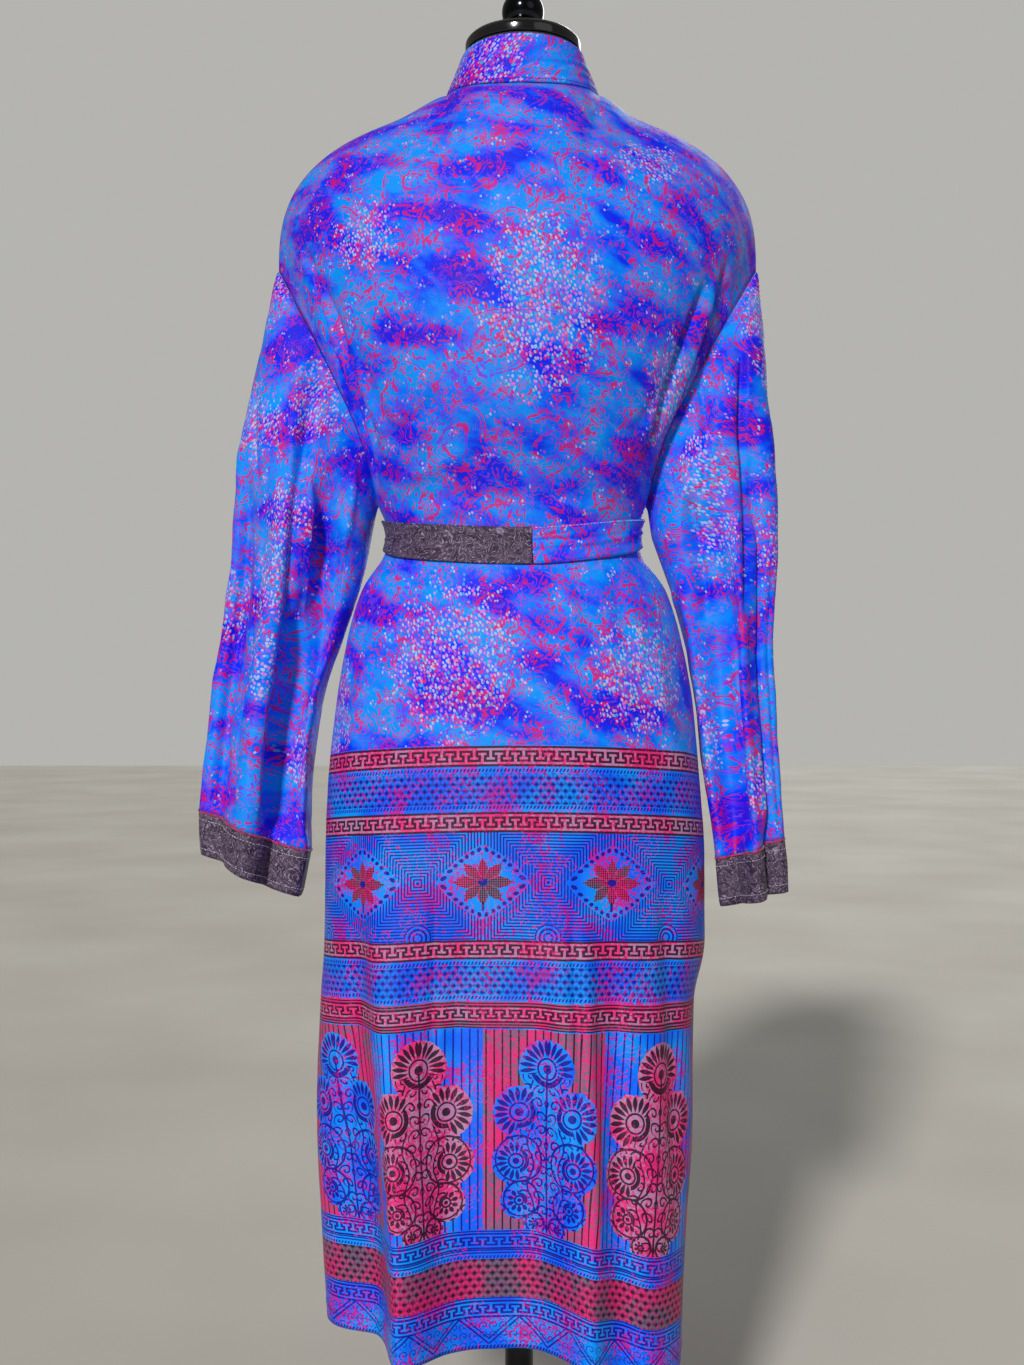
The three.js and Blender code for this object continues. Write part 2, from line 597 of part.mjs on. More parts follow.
// A point of a hanging ring: turn runs from the outer edge (0) by the front to the inner edge and the back.
function ringPoint(ring, turn, folds, at) {
  const angle = turn * 2 * Math.PI;
  const [c, s] = [Math.cos(angle), Math.sin(angle)];
  const middle = toward(ring.outer, ring.inner, 0.5);
  const half = ring.outer.clone().sub(middle);
  let lift = 0;
  for (const fold of folds) {
    const away = Math.abs(turn - fold.turn);
    const near = Math.min(away, 1 - away);
    lift += fold.out * smooth((at - fold.from) / RING.grow) * Math.exp(-((near / fold.width) ** 2));
  }
  const depth = s > 0 ? ring.front : ring.back;
  const y = -Math.sign(s) * depth * Math.abs(s) ** RING.square;
  const p = middle.clone().addScaledVector(half, c);
  p.y += y;
  const away = new THREE.Vector3(half.x * c, y, half.z * c * RING.slope).normalize();
  return p.addScaledVector(away, lift);
}

// A point of a sleeve: it starts on the armhole loop and hangs into its rings.
function sleevePoint(side, name, turn, at) {
  const ring = sleeveRing(side, name, at);
  const hung = ringPoint(ring, turn, SLEEVE_FOLDS[name], at);
  const up = 1 - Math.abs(2 * ((turn + 1) % 1) - 1);
  const seam = armholePoint(side, 1 - up, turn > 0.5 ? "back" : "front");
  const out = new THREE.Vector3(side * SLEEVE_HEAD.out, 0, -SLEEVE_HEAD.down);
  seam.addScaledVector(out, SEAM_GAP + at * SLEEVE_HEAD.reach);
  return toward(seam, hung, smooth(at / SLEEVE_HEAD.share));
}

function sleeve(side, name) {
  const point = (u, t) => sleevePoint(side, name, fromSide(side, u), (1 - t) ** SLEEVE_CROWD);
  return wall(SLEEVE_COLUMNS, SLEEVE_ROWS, point, CLOTH, { round: true });
}

function cuff(side, name) {
  const end = CUFFS[name];
  const last = sleeveRing(side, name, 1);
  const point = (u, t) => {
    const down = lerp(CUFF_START, 1, 1 - t);
    const low = {
      outer: new THREE.Vector3(side * end.outX, end.y, end.outZ),
      inner: new THREE.Vector3(side * end.inX, end.y, end.inZ),
    };
    const ring = {
      outer: toward(last.outer, low.outer, down),
      inner: toward(last.inner, low.inner, down),
      back: lerp(last.back, end.back, down),
      front: lerp(last.front, end.front, down),
    };
    return ringPoint(ring, fromSide(side, u), SLEEVE_FOLDS[name], 1);
  };
  return wall(SLEEVE_COLUMNS, CUFF_ROWS, point, BAND, { round: true });
}

// The sash: a strip round the waist between two turns, clear of the robe.
function sash(from, to) {
  const point = (u, t) => {
    const turn = lerp(from, to, u);
    const row = (column) => read(SASH_LINE, column, "turn", turn);
    const z = row("z") + (t - 0.5) * row("width");
    const p = bodyPoint(turn * 2 * Math.PI, z);
    const waist = bodyPoint(turn * 2 * Math.PI, row("z"));
    const reach = Math.max(Math.hypot(p.x, p.y), Math.hypot(waist.x, waist.y)) + SASH_CLEAR + SASH;
    const flat = new THREE.Vector3(p.x, p.y, 0).setLength(reach);
    return new THREE.Vector3(flat.x, flat.y, z);
  };
  return wall(...SASH_FACES, point, SASH);
}

function knot() {
  const waist = bodyPoint(SASH_KNOT * 2 * Math.PI, KNOT.z);
  const middle = waist.y - SASH_CLEAR - SASH - KNOT.deep / 2 + KNOT.sink;
  const made = new THREE.SphereGeometry(0.5, KNOT.columns, KNOT.rows);
  made.deleteAttribute("normal");
  made.deleteAttribute("uv");
  const merged = mergeVertices(made, 1e-5);
  const place = merged.attributes.position;
  for (let i = 0; i < place.count; i++) {
    const p = new THREE.Vector3().fromBufferAttribute(place, i);
    const pinch = 1 - KNOT.pinch * Math.cos(p.z * 2 * Math.PI) ** 2;
    place.setXYZ(
      i,
      KNOT.x + p.x * KNOT.across * pinch,
      middle + p.y * KNOT.deep,
      KNOT.z + p.z * KNOT.tall,
    );
  }
  merged.computeVertexNormals();
  return merged;
}

// A hanging end of the sash: it comes out under the knot and falls just clear of the front.
function tail({ side, length, width, lean }) {
  const top = KNOT.z - KNOT.tall / 2 - SEAM_GAP;
  const clear = (x, z) => {
    const turn = -Math.acos(x / read(BODY, x > 0 ? "left" : "right", "z", z));
    return bodyPoint(turn, z).y - SASH - TAIL.clear;
  };
  const point = (u, t) => {
    const down = 1 - t;
    const z = top - down * length;
    const open = smooth(down / TAIL.open);
    const middle = side * (lerp(TAIL.x, TAIL.openX, open) + lean * down);
    const x = middle + (u - 0.5) * lerp(TAIL.width, width, open);
    const ripple = TAIL.ripple * open * (Math.sin(u * Math.PI * 2 + down * TAIL.turns) - 1);
    const deepest = Math.min(...TAIL_CLEAR.map((near) => clear(x * near.across, z - near.down)));
    const start = bodyPoint(-Math.PI / 2, KNOT.z).y - SASH_CLEAR - SASH - KNOT.deep / 2;
    return new THREE.Vector3(x, lerp(start, deepest + ripple, smooth(down / TAIL.settle)), z);
  };
  return wall(...TAIL_FACES, point, SASH);
}

function formTorso() {
  const rings = [];
  const points = [];
  for (let k = 0; k < FORM.length - 1; k++)
    for (const part of FORM[k + 1].z - FORM[k].z > FORM_FAR ? [0, 0.5] : [0])
      rings.push(lerp(FORM[k].z, FORM[k + 1].z, part));
  rings.push(FORM.at(-1).z);
  for (const z of rings)
    for (let i = 0; i < FORM_COLUMNS; i++) {
      const angle = (i / FORM_COLUMNS) * 2 * Math.PI;
      const [c, s] = [Math.cos(angle), Math.sin(angle)];
      const row = (column) => read(FORM, column, "z", z);
      points.push(leaned(new THREE.Vector3(c * row("side"), s * row(s > 0 ? "back" : "front"), z)));
    }
  const faces = [];
  const id = (i, j) => j * FORM_COLUMNS + (i % FORM_COLUMNS);
  for (let j = 0; j < rings.length - 1; j++)
    for (let i = 0; i < FORM_COLUMNS; i++)
      faces.push(id(i, j), id(i + 1, j), id(i + 1, j + 1), id(i, j), id(i + 1, j + 1), id(i, j + 1));
  for (const [j, flip] of [[0, true], [rings.length - 1, false]]) {
    const centre = points.push(new THREE.Vector3(0, 0, rings[j])) - 1;
    for (let i = 0; i < FORM_COLUMNS; i++)
      faces.push(centre, ...(flip ? [id(i + 1, j), id(i, j)] : [id(i, j), id(i + 1, j)]));
  }
  return solid(points, faces);
}

// A turned piece from its outline, radius then height, in steps round the axis.
function turned(outline, around) {
  const made = new THREE.LatheGeometry(outline.map(([r, z]) => new THREE.Vector2(r, z)), around);
  return made.rotateX(Math.PI / 2);
}

function neckCap() {
  const { radius, tall, round, bevel } = NECK_CAP;
  const outline = [
    [0, 0],
    [radius, 0],
    [radius, tall - round],
    [radius - bevel, tall - bevel],
    [radius - round, tall],
    [0, tall],
  ];
  return turned(outline, ROUND.cap).translate(NECK_SHIFT, 0, FORM.at(-1).z + SEAM_GAP);
}

function knob() {
  const { flange, thick, radius, neck, flare, rise, steps, firstStep } = KNOB;
  const outline = [[0, 0], [flange, 0], [flange, thick], [neck + flare, rise]];
  for (let k = firstStep; k <= steps; k++) {
    const angle = (k / steps) * Math.PI - Math.PI / 2;
    const r = k === steps ? 0 : radius * Math.cos(angle);
    outline.push([r, rise + radius + radius * Math.sin(angle)]);
  }
  return turned(outline, ROUND.knob).translate(NECK_SHIFT, 0, FORM.at(-1).z + NECK_CAP.tall + 2 * SEAM_GAP);
}

function pole() {
  const [low, high] = [BASE.bossTall + SEAM_GAP, FORM[0].z - SEAM_GAP];
  return turned([[0, low], [POLE.radius, low], [POLE.radius, high], [0, high]], ROUND.pole);
}

function base() {
  const { radius, rim, slope, lip, tall, foot, boss, collar, bossTop, bossTall } = BASE;
  const outline = [
    [0, 0],
    [radius, 0],
    [radius, rim],
    [radius - slope, rim + lip],
    [boss + foot, tall],
    [boss, tall + collar],
    [bossTop, bossTall],
    [0, bossTall],
  ];
  return turned(outline, ROUND.base);
}

// ---- assembly -----------------------------------------------------------------------------------
const finish = {
  print: new THREE.MeshStandardMaterial({ color: COLOURS.print, roughness: 0.5, side: THREE.DoubleSide }),
  plain: new THREE.MeshStandardMaterial({ color: COLOURS.plain, roughness: 0.65, side: THREE.DoubleSide }),
  cover: new THREE.MeshStandardMaterial({ color: COLOURS.cover, roughness: 0.45 }),
  metal: new THREE.MeshStandardMaterial({ color: COLOURS.metal, roughness: 0.3, metalness: 0.8 }),
};
const robe = new THREE.Group();
const stand = new THREE.Group();

// Each mesh gets a material of its own.
function add(group, name, geometry, material) {
  const mesh = new THREE.Mesh(geometry, material.clone());
  mesh.name = name;
  group.add(mesh);
}

add(stand, "form_torso", formTorso(), finish.cover);
add(stand, "form_neck_cap", neckCap(), finish.cover);
add(stand, "form_knob", knob(), finish.metal);
add(stand, "stand_pole", pole(), finish.metal);
add(stand, "stand_base", base(), finish.metal);

add(robe, "back", backPanel(), finish.print);
add(robe, "neckband_back", backBand(), finish.print);
for (const [name, side] of [["left", 1], ["right", -1]]) {
  add(robe, "front_" + name, frontPanel(side), finish.print);
  add(robe, "neckband_" + name, frontBand(side), finish.print);
  add(robe, "sleeve_" + name, sleeve(side, name), finish.print);
  add(robe, "cuff_" + name, cuff(side, name), finish.plain);
}
add(robe, "sash_plain", sash(SASH_KNOT - 1 + SASH_END, SASH_JOIN - SASH_SEAM), finish.plain);
add(robe, "sash_printed", sash(SASH_JOIN + SASH_SEAM, SASH_KNOT - SASH_END), finish.print);
add(robe, "sash_knot", knot(), finish.print);
for (const end of TAILS) add(robe, end.name, tail(end), end.side > 0 ? finish.plain : finish.print);

const part = new THREE.Group();
part.add(stand, robe);
export default part;
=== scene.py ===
"""A long robe of printed silk with its tied sash, worn by a limbless dress form on a round stand.

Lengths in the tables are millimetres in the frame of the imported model: +Z is up, the wearer's front
faces -Y and the wearer's left is +X. Meshes are made in metres.
"""

from __future__ import annotations

import logging  # noqa: E402
import math  # noqa: E402
from dataclasses import dataclass, field  # noqa: E402
from enum import Enum  # noqa: E402
from functools import partial  # noqa: E402
from typing import Callable, NamedTuple, Optional, Sequence, TypeVar, Union  # noqa: E402

import bpy  # noqa: E402
import bmesh  # noqa: E402
import numpy as np  # noqa: E402
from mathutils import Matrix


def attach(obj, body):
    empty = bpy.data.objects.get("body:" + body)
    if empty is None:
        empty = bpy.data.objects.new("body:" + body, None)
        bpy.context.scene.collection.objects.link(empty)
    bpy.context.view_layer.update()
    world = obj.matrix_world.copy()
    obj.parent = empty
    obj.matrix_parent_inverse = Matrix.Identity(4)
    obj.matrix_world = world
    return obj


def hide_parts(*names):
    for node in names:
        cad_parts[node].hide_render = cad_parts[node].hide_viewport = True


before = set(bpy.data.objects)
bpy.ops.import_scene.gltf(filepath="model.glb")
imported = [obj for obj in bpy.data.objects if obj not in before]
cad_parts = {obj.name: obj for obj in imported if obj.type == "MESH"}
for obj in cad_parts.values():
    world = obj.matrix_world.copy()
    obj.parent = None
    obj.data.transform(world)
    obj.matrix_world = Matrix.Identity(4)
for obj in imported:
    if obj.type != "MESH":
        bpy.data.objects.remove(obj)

LOG = logging.getLogger("robe")
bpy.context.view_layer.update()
MM = 0.001
BODY = "root"
TURN = 2 * math.pi
THREAD_LIFT = 0.2

Array = np.ndarray
Amount = Union[Array, float]
Piece = bpy.types.Object
Material = bpy.types.Material
Row = TypeVar("Row")
Colour = tuple[float, float, float]


# ---- numbers ------------------------------------------------------------------------------------
def ink(red: int, green: int, blue: int) -> Colour:
    """A colour from its 0 to 255 screen values, as linear light."""
    return tuple(((c / 255 + 0.055) / 1.055) ** 2.4 if c > 10 else c / 3294.6 for c in (red, green, blue))


def lerp(a: Amount, b: Amount, t: Amount) -> Amount:
    """The value a share t of the way from a to b."""
    return a + (b - a) * t


def smooth(t: Amount) -> Amount:
    """An even rise from 0 to 1 as t runs from 0 to 1."""
    c = np.clip(t, 0, 1)
    return c * c * (3 - 2 * c)


def xyz(x: Amount, y: Amount, z: Amount) -> Array:
    """Points from their coordinates, which may be numbers or arrays of one shape."""
    return np.stack(np.broadcast_arrays(*(np.asarray(v, float) for v in (x, y, z))), axis=-1)


def read(rows: Sequence[NamedTuple], column: str, along: str, value: Amount) -> Array:
    """One column of a table at values of another, as a curve that never overshoots its rows.

    Args:
        rows: the table, in rising order of the column along.
        column: the name of the column to read.
        along: the name of the column that value belongs to.
        value: where to read it, a number or an array.

    Returns:
        The column's values, in the shape of value.
    """
    x = np.array([getattr(row, along) for row in rows], float)
    y = np.array([getattr(row, column) for row in rows], float)
    rise = np.diff(y) / np.diff(x)
    slope = np.concatenate(([rise[0]], np.zeros(len(x) - 2), [rise[-1]]))
    before, after = rise[:-1], rise[1:]
    same = before * after > 0
    slope[1:-1][same] = 2 * (before * after)[same] / (before + after)[same]
    v = np.clip(value, x[0], x[-1])
    i = np.clip(np.searchsorted(x, v, side="right") - 1, 0, len(x) - 2)
    h = x[i + 1] - x[i]
    t = (v - x[i]) / h
    return (
        y[i] * (1 + 2 * t) * (1 - t) ** 2
        + slope[i] * h * t * (1 - t) ** 2
        + y[i + 1] * t * t * (3 - 2 * t)
        + slope[i + 1] * h * t * t * (t - 1)
    )


def table(kind: Callable[..., Row], *rows: tuple) -> tuple[Row, ...]:
    """A table whose rows are all of one kind."""
    return tuple(kind(*row) for row in rows)


def unit(v: Array) -> Array:
    """Directions of length 1 along the last axis."""
    return v / np.maximum(np.linalg.norm(v, axis=-1, keepdims=True), 1e-12)


# ---- tables of the robe's shape -----------------------------------------------------------------
class Level(NamedTuple):
    """The body at one height: half widths, depths, squareness and how far the sides hang."""

    z: float
    left: float
    right: float
    back: float
    front: float
    square: float
    sag: float


class Fold(NamedTuple):
    """A fold of the skirt, from its start down to the hem."""

    start: float
    x_top: float
    x_hem: float
    out: float
    left_flank: float
    right_flank: float


class LoopRow(NamedTuple):
    """A place on the armhole loop."""

    at: float
    out: float
    up: float
    back: float
    front: float


class Place(NamedTuple):
    """A named place along a seam or edge."""

    at: float
    x: float
    y: float
    z: float


class Swell(NamedTuple):
    """How far the upper back and each breast stand out."""

    at: float
    back: float
    front: float


class Lap(NamedTuple):
    """The neckband's seam and free edge at a height of the skirt."""

    z: float
    seam: float
    edge: float


class Ring(NamedTuple):
    """A hanging sleeve at a share of its length."""

    at: float
    out_x: float
    out_z: float
    in_x: float
    in_z: float
    y: float
    back: float
    front: float


class SleeveFold(NamedTuple):
    """A lengthwise fold of a sleeve."""

    turn: float
    out: float
    width: float
    start: float


class SashRow(NamedTuple):
    """The sash's middle height and width at a turn round the waist."""

    turn: float
    z: float
    width: float


class FormRow(NamedTuple):
    """The dress form's section at a height."""

    z: float
    side: float
    back: float
    front: float


class SleeveCrease(NamedTuple):
    """A ridge or valley down a sleeve, from one turn and share of its length to another.

    The side with the greater turn is `spread` times as wide as the other.
    """

    turn: float
    turn_end: float
    start: float
    end: float
    width: float
    out: float
    spread: float = 1


class Crease(NamedTuple):
    """A soft ridge (or trough, if out is negative) between two places seen from behind or in front."""

    x0: float
    z0: float
    x1: float
    z1: float
    width: float
    out: float


class CollarFold(NamedTuple):
    """A fold along the standing collar: its share of the height, its width, swell and sway."""

    at: float
    width: float
    out: float
    sway: float


class Wrinkle(NamedTuple):
    """A long wrinkle of the sash: its share of the width, its sway and pace, its width and swell."""

    at: float
    sway: float
    pace: float
    width: float
    out: float


class Tail(NamedTuple):
    """A hanging end of the sash: its length, its width and how far it drifts outward."""

    length: float
    width: float
    lean: float


class Cluster(NamedTuple):
    """A patch of speckles on the cloth."""

    x: float
    z: float
    half_x: float
    half_z: float


class Side(Enum):
    """The wearer's left and right, with the sign of X."""

    LEFT = 1
    RIGHT = -1

    @property
    def word(self) -> str:
        """The word used in names of pieces."""
        return self.name.lower()


LEVELS = table(
    Level,
    (240, 190, 159, 76, 96, 3.8, 4), (330, 195, 163, 82, 98, 3.4, 6),
    (440, 200, 171, 92, 102, 3, 9), (560, 197, 173, 106, 104, 2.6, 13),
    (620, 193, 184, 112, 105, 2.5, 15), (700, 192, 184, 119, 107, 2.4, 17),
    (780, 189, 179, 123, 109, 2.3, 17), (850, 182, 173, 122, 109, 2.2, 14),
    (910, 171, 161, 114, 105, 2.2, 9), (955, 156, 146, 101, 97, 2.2, 4),
    (985, 135, 123, 89, 90, 2.2, 1), (1005, 129, 118, 87, 88, 2.2, 0),
    (1035, 140, 126, 91, 94, 2.2, 0),
)
BACK_FOLDS = table(
    Fold,
    (800, 140, 112, 72, 13, 44), (760, -46, -62, 58, 38, 24), (700, -112, -118, 54, 44, 52),
    (700, 20, 24, 26, 60, 60),
)
FRONT_FOLDS = table(
    Fold,
    (880, 96, 118, 28, 20, 34), (820, 42, 48, 10, 24, 28), (860, -92, -120, 24, 28, 20),
)
ARMHOLE = table(
    LoopRow,
    (0, 0, 0, 0, 0), (0.25, 0.14, 0.25, 31, 28), (0.5, 0.39, 0.5, 42, 38),
    (0.75, 0.7, 0.76, 31, 30), (1, 1, 1, -6, 6),
)
NECKLINE = table(
    Place, (0.8, 76, 2, 1446), (0.86, 66, 30, 1441), (0.93, 39, 54, 1437), (1, 0, 63, 1435)
)
SWELLS = table(
    Swell,
    (0, 0, 0), (0.2, 17, 8), (0.42, 29, 16), (0.6, 35, 16), (0.76, 35, 20), (0.9, 30, 22),
    (0.96, 19, 14), (1, 0, 0),
)
NECK_EDGE = table(
    Place,
    (0, -46, -94, 1035), (0.2, -26, -113, 1124), (0.42, -2, -124, 1222), (0.64, 22, -112, 1320),
    (0.82, 41, -82, 1400), (0.93, 55, -44, 1452), (1, 61, 0, 1481),
)
LAPS = table(
    Lap, (240, -18, -68), (600, -16, -66), (900, -12, -62), (1005, -2, -52), (1035, 4, -46)
)
SLEEVES = {
    Side.LEFT: table(
        Ring,
        (0, 241, 1272, 141, 1035, 0, 42, 38), (0.08, 250, 1232, 146, 1016, 0, 48, 42),
        (0.2, 263, 1172, 152, 988, -2, 54, 46), (0.36, 277, 1092, 162, 950, -6, 56, 46),
        (0.52, 282, 1006, 177, 900, -12, 54, 44), (0.68, 293, 912, 196, 842, -16, 52, 44),
        (0.84, 305, 822, 207, 768, -16, 50, 44), (1, 315, 734, 209, 692, -12, 46, 42),
    ),
    Side.RIGHT: table(
        Ring,
        (0, 238, 1272, 127, 1035, 0, 42, 38), (0.08, 242, 1228, 132, 1012, 0, 46, 42),
        (0.2, 247, 1168, 141, 982, -2, 50, 46), (0.36, 254, 1088, 156, 940, -6, 52, 48),
        (0.52, 256, 1002, 170, 884, -10, 50, 48), (0.68, 252, 912, 179, 822, -12, 48, 46),
        (0.84, 256, 812, 188, 752, -12, 46, 44), (1, 262, 706, 198, 686, -10, 42, 42),
    ),
}
CUFFS = {
    Side.LEFT: Ring(1, 313, 690, 219, 646, -12, 43, 40),
    Side.RIGHT: Ring(1, 266, 653, 203, 638, -10, 40, 40),
}
SLEEVE_FOLDS = {
    Side.LEFT: table(
        SleeveFold,
        (0.94, 7, 0.035, 0.15), (0.87, -7, 0.03, 0.3), (0.76, 11, 0.045, 0.1),
        (0.67, -16, 0.04, 0.05), (0.59, 8, 0.035, 0.2), (0.41, -9, 0.04, 0.1),
        (0.32, 8, 0.045, 0.25), (0.22, -12, 0.045, 0.15), (0.12, 8, 0.04, 0.3),
    ),
    Side.RIGHT: table(
        SleeveFold,
        (0.93, 5, 0.04, 0.1), (0.84, -14, 0.035, 0.05), (0.75, 9, 0.04, 0.1),
        (0.65, -9, 0.035, 0.3), (0.57, 7, 0.03, 0.2), (0.42, -8, 0.04, 0.2), (0.33, 9, 0.05, 0.1),
        (0.21, -13, 0.045, 0.2), (0.11, 7, 0.04, 0.3),
    ),
}
SLEEVE_CREASES = {
    Side.LEFT: table(
        SleeveCrease,
        (0.765, 0.715, 0.02, 0.72, 0.016, -8.5, 0.8), (0.735, 0.65, 0.2, 0.62, 0.014, 6),
        (0.7, 0.595, 0.2, 0.8, 0.024, -8, 0.5), (0.748, 0.738, 0.5, 1.1, 0.011, 7, 4),
        (0.712, 0.7, 0.48, 1.1, 0.026, -9, 0.5), (0.62, 0.63, 0.2, 1.1, 0.055, -13),
        (0.9, 0.885, 0.35, 1.1, 0.02, -8, 0.7), (0.82, 0.797, 0.3, 1.1, 0.006, -2),
        (0.66, 0.665, 0.55, 1.1, 0.01, -3), (0.93, 0.85, 0.22, 0.4, 0.012, -4),
        (0.82, 0.76, 0, 0.3, 0.014, 3), (0.63, 0.6, 0.02, 0.5, 0.014, 3.4),
        (0.3, 0.32, 0.05, 1.1, 0.014, -6, 0.6), (0.18, 0.16, 0.2, 1.1, 0.016, -5.5),
        (0.42, 0.4, 0.08, 0.7, 0.014, 3.4), (0.05, 0.07, 0.3, 0.9, 0.012, -3),
    ),
    Side.RIGHT: table(
        SleeveCrease,
        (0.855, 0.785, 0.03, 0.62, 0.018, -9.5, 0.6), (0.83, 0.8, 0.35, 1.1, 0.012, 6),
        (0.7, 0.69, 0.12, 1.1, 0.06, -14), (0.67, 0.635, 0.12, 0.5, 0.02, -8, 0.7),
        (0.73, 0.715, 0.1, 0.45, 0.022, 4), (0.745, 0.735, 0.5, 1.1, 0.026, -7.5, 0.7),
        (0.7, 0.695, 0.5, 1.1, 0.012, -3.4), (0.9, 0.905, 0.5, 1.1, 0.01, -2.6),
        (0.76, 0.7, 0, 0.22, 0.012, -5), (0.58, 0.6, 0.3, 1.1, 0.014, 3),
        (0.28, 0.3, 0.04, 1.1, 0.014, -6, 0.6), (0.17, 0.15, 0.25, 1, 0.015, -5),
        (0.4, 0.39, 0.1, 0.8, 0.014, 3.2), (0.06, 0.05, 0.2, 0.7, 0.012, -3),
    ),
}
SASH_LINE = table(
    SashRow,
    (0, 1008, 27), (0.1, 997, 33), (0.25, 989, 35), (0.4, 1000, 33), (0.5, 1008, 27),
    (0.62, 1008, 27), (0.75, 1004, 24), (0.88, 1008, 27), (1, 1008, 27),
)
FORM = table(
    FormRow,
    (742, 132, 84, 78), (752, 148, 98, 90), (790, 155, 106, 96), (850, 154, 106, 96),
    (920, 136, 92, 88), (1000, 109, 75, 76), (1090, 116, 80, 86), (1190, 134, 90, 98),
    (1260, 142, 94, 98), (1320, 152, 88, 80), (1350, 166, 62, 56), (1372, 152, 50, 44),
    (1392, 118, 48, 42), (1410, 84, 50, 46), (1426, 64, 52, 50), (1446, 56, 54, 54),
    (1488, 55, 55, 55),
)
# Creases of the back: along the armholes, from the underarms, off the shoulders, round the sash and
# in the skirt.
BACK_CREASES = table(
    Crease,
    (211, 1288, 164, 1130, 3.4, -9), (166, 1140, 136, 1046, 3.6, -9),
    (202, 1270, 150, 1110, 4.4, 5.4), (192, 1250, 126, 1056, 3.4, -8.5),
    (184, 1196, 152, 1090, 3.2, -7), (170, 1196, 124, 1076, 5, 2.8),
    (156, 1178, 116, 1084, 4.5, -2.2), (-204, 1276, -150, 1100, 3.4, -9),
    (-152, 1110, -126, 1044, 3.6, -9), (-192, 1256, -130, 1076, 4.4, 5.4),
    (-182, 1250, -112, 1058, 3.4, -8.5), (-206, 1250, -186, 1190, 3.4, -6),
    (-164, 1180, -110, 1076, 5, 2.2), (-148, 1160, -102, 1084, 4.5, -1.8),
    (130, 1078, 62, 1138, 9, -2.2), (-118, 1076, -52, 1128, 9, -2.0), (118, 1046, 30, 1086, 7, 1.8),
    (-106, 1046, -24, 1078, 7, 1.6), (64, 1426, 166, 1322, 11, -1.6),
    (-68, 1424, -160, 1330, 11, -1.5), (40, 1428, 96, 1310, 12, 1.2),
    (-42, 1428, -92, 1316, 12, 1.2), (104, 1020, 18, 1024, 5, 1.8), (-20, 1021, -96, 1030, 5, 1.5),
    (96, 966, 124, 880, 8, -2.4), (60, 962, 74, 896, 8, 1.8), (8, 958, 12, 880, 9, -1.6),
    (-44, 962, -58, 884, 8, 2.0), (-84, 966, -112, 870, 8, -2.4), (138, 900, 166, 760, 8, 3.4),
    (-126, 890, -158, 752, 9, 3.2), (78, 690, 85, 400, 5, -3.6), (-49, 680, -64, 260, 5, -5),
    (-58, 670, -76, 270, 7, 3.4), (150, 640, 168, 300, 8, -5.0), (-136, 700, -150, 330, 9, -4.6),
    (60, 640, 70, 280, 13, -3.6), (-20, 620, -12, 270, 14, -3.2), (-84, 640, -98, 300, 9, -2.6),
)
# Creases of the left front, which the right one mirrors: at the armhole, the breast and the sash.
FRONT_CREASES = table(
    Crease,
    (200, 1230, 134, 1054, 3.6, -3.8), (188, 1222, 128, 1062, 4.5, 2.8),
    (172, 1206, 120, 1070, 3.8, -3.0), (156, 1180, 112, 1088, 5, 2.0),
    (124, 1082, 70, 1150, 9, -2.0), (108, 1048, 46, 1100, 7, 1.8), (96, 1400, 120, 1300, 10, 1.4),
    (92, 968, 118, 880, 8, -2.4), (62, 966, 72, 890, 7, 2.0), (30, 962, 26, 872, 8, -1.8),
    (132, 890, 158, 740, 8, 2.2), (70, 700, 84, 300, 12, -3.0), (20, 640, 22, 280, 11, 2.4),
    (144, 660, 150, 320, 9, -3.2),
)
COLLAR_FOLDS = table(
    CollarFold,
    (0.42, 0.05, -1.9, 0.05), (0.21, 0.05, -1.2, -0.04), (0.66, 0.07, -0.7, 0.07),
)
SASH_WRINKLES = table(
    Wrinkle,
    (0.3, 0.07, 9, 0.05, -2), (0.52, 0.1, 6, 0.045, -2.4), (0.74, 0.06, 11, 0.04, -1.8),
    (0.42, 0.12, 4, 0.07, 1.6),
)
TAILS = {Side.LEFT: Tail(430, 38, 34), Side.RIGHT: Tail(395, 38, 26)}
CLUSTERS = table(
    Cluster,
    (-21, 1205, 58, 88), (142, 1275, 36, 36), (-122, 1350, 34, 26), (-144, 1130, 26, 56),
    (62, 882, 66, 78), (-110, 866, 48, 58), (182, 830, 26, 60),
)


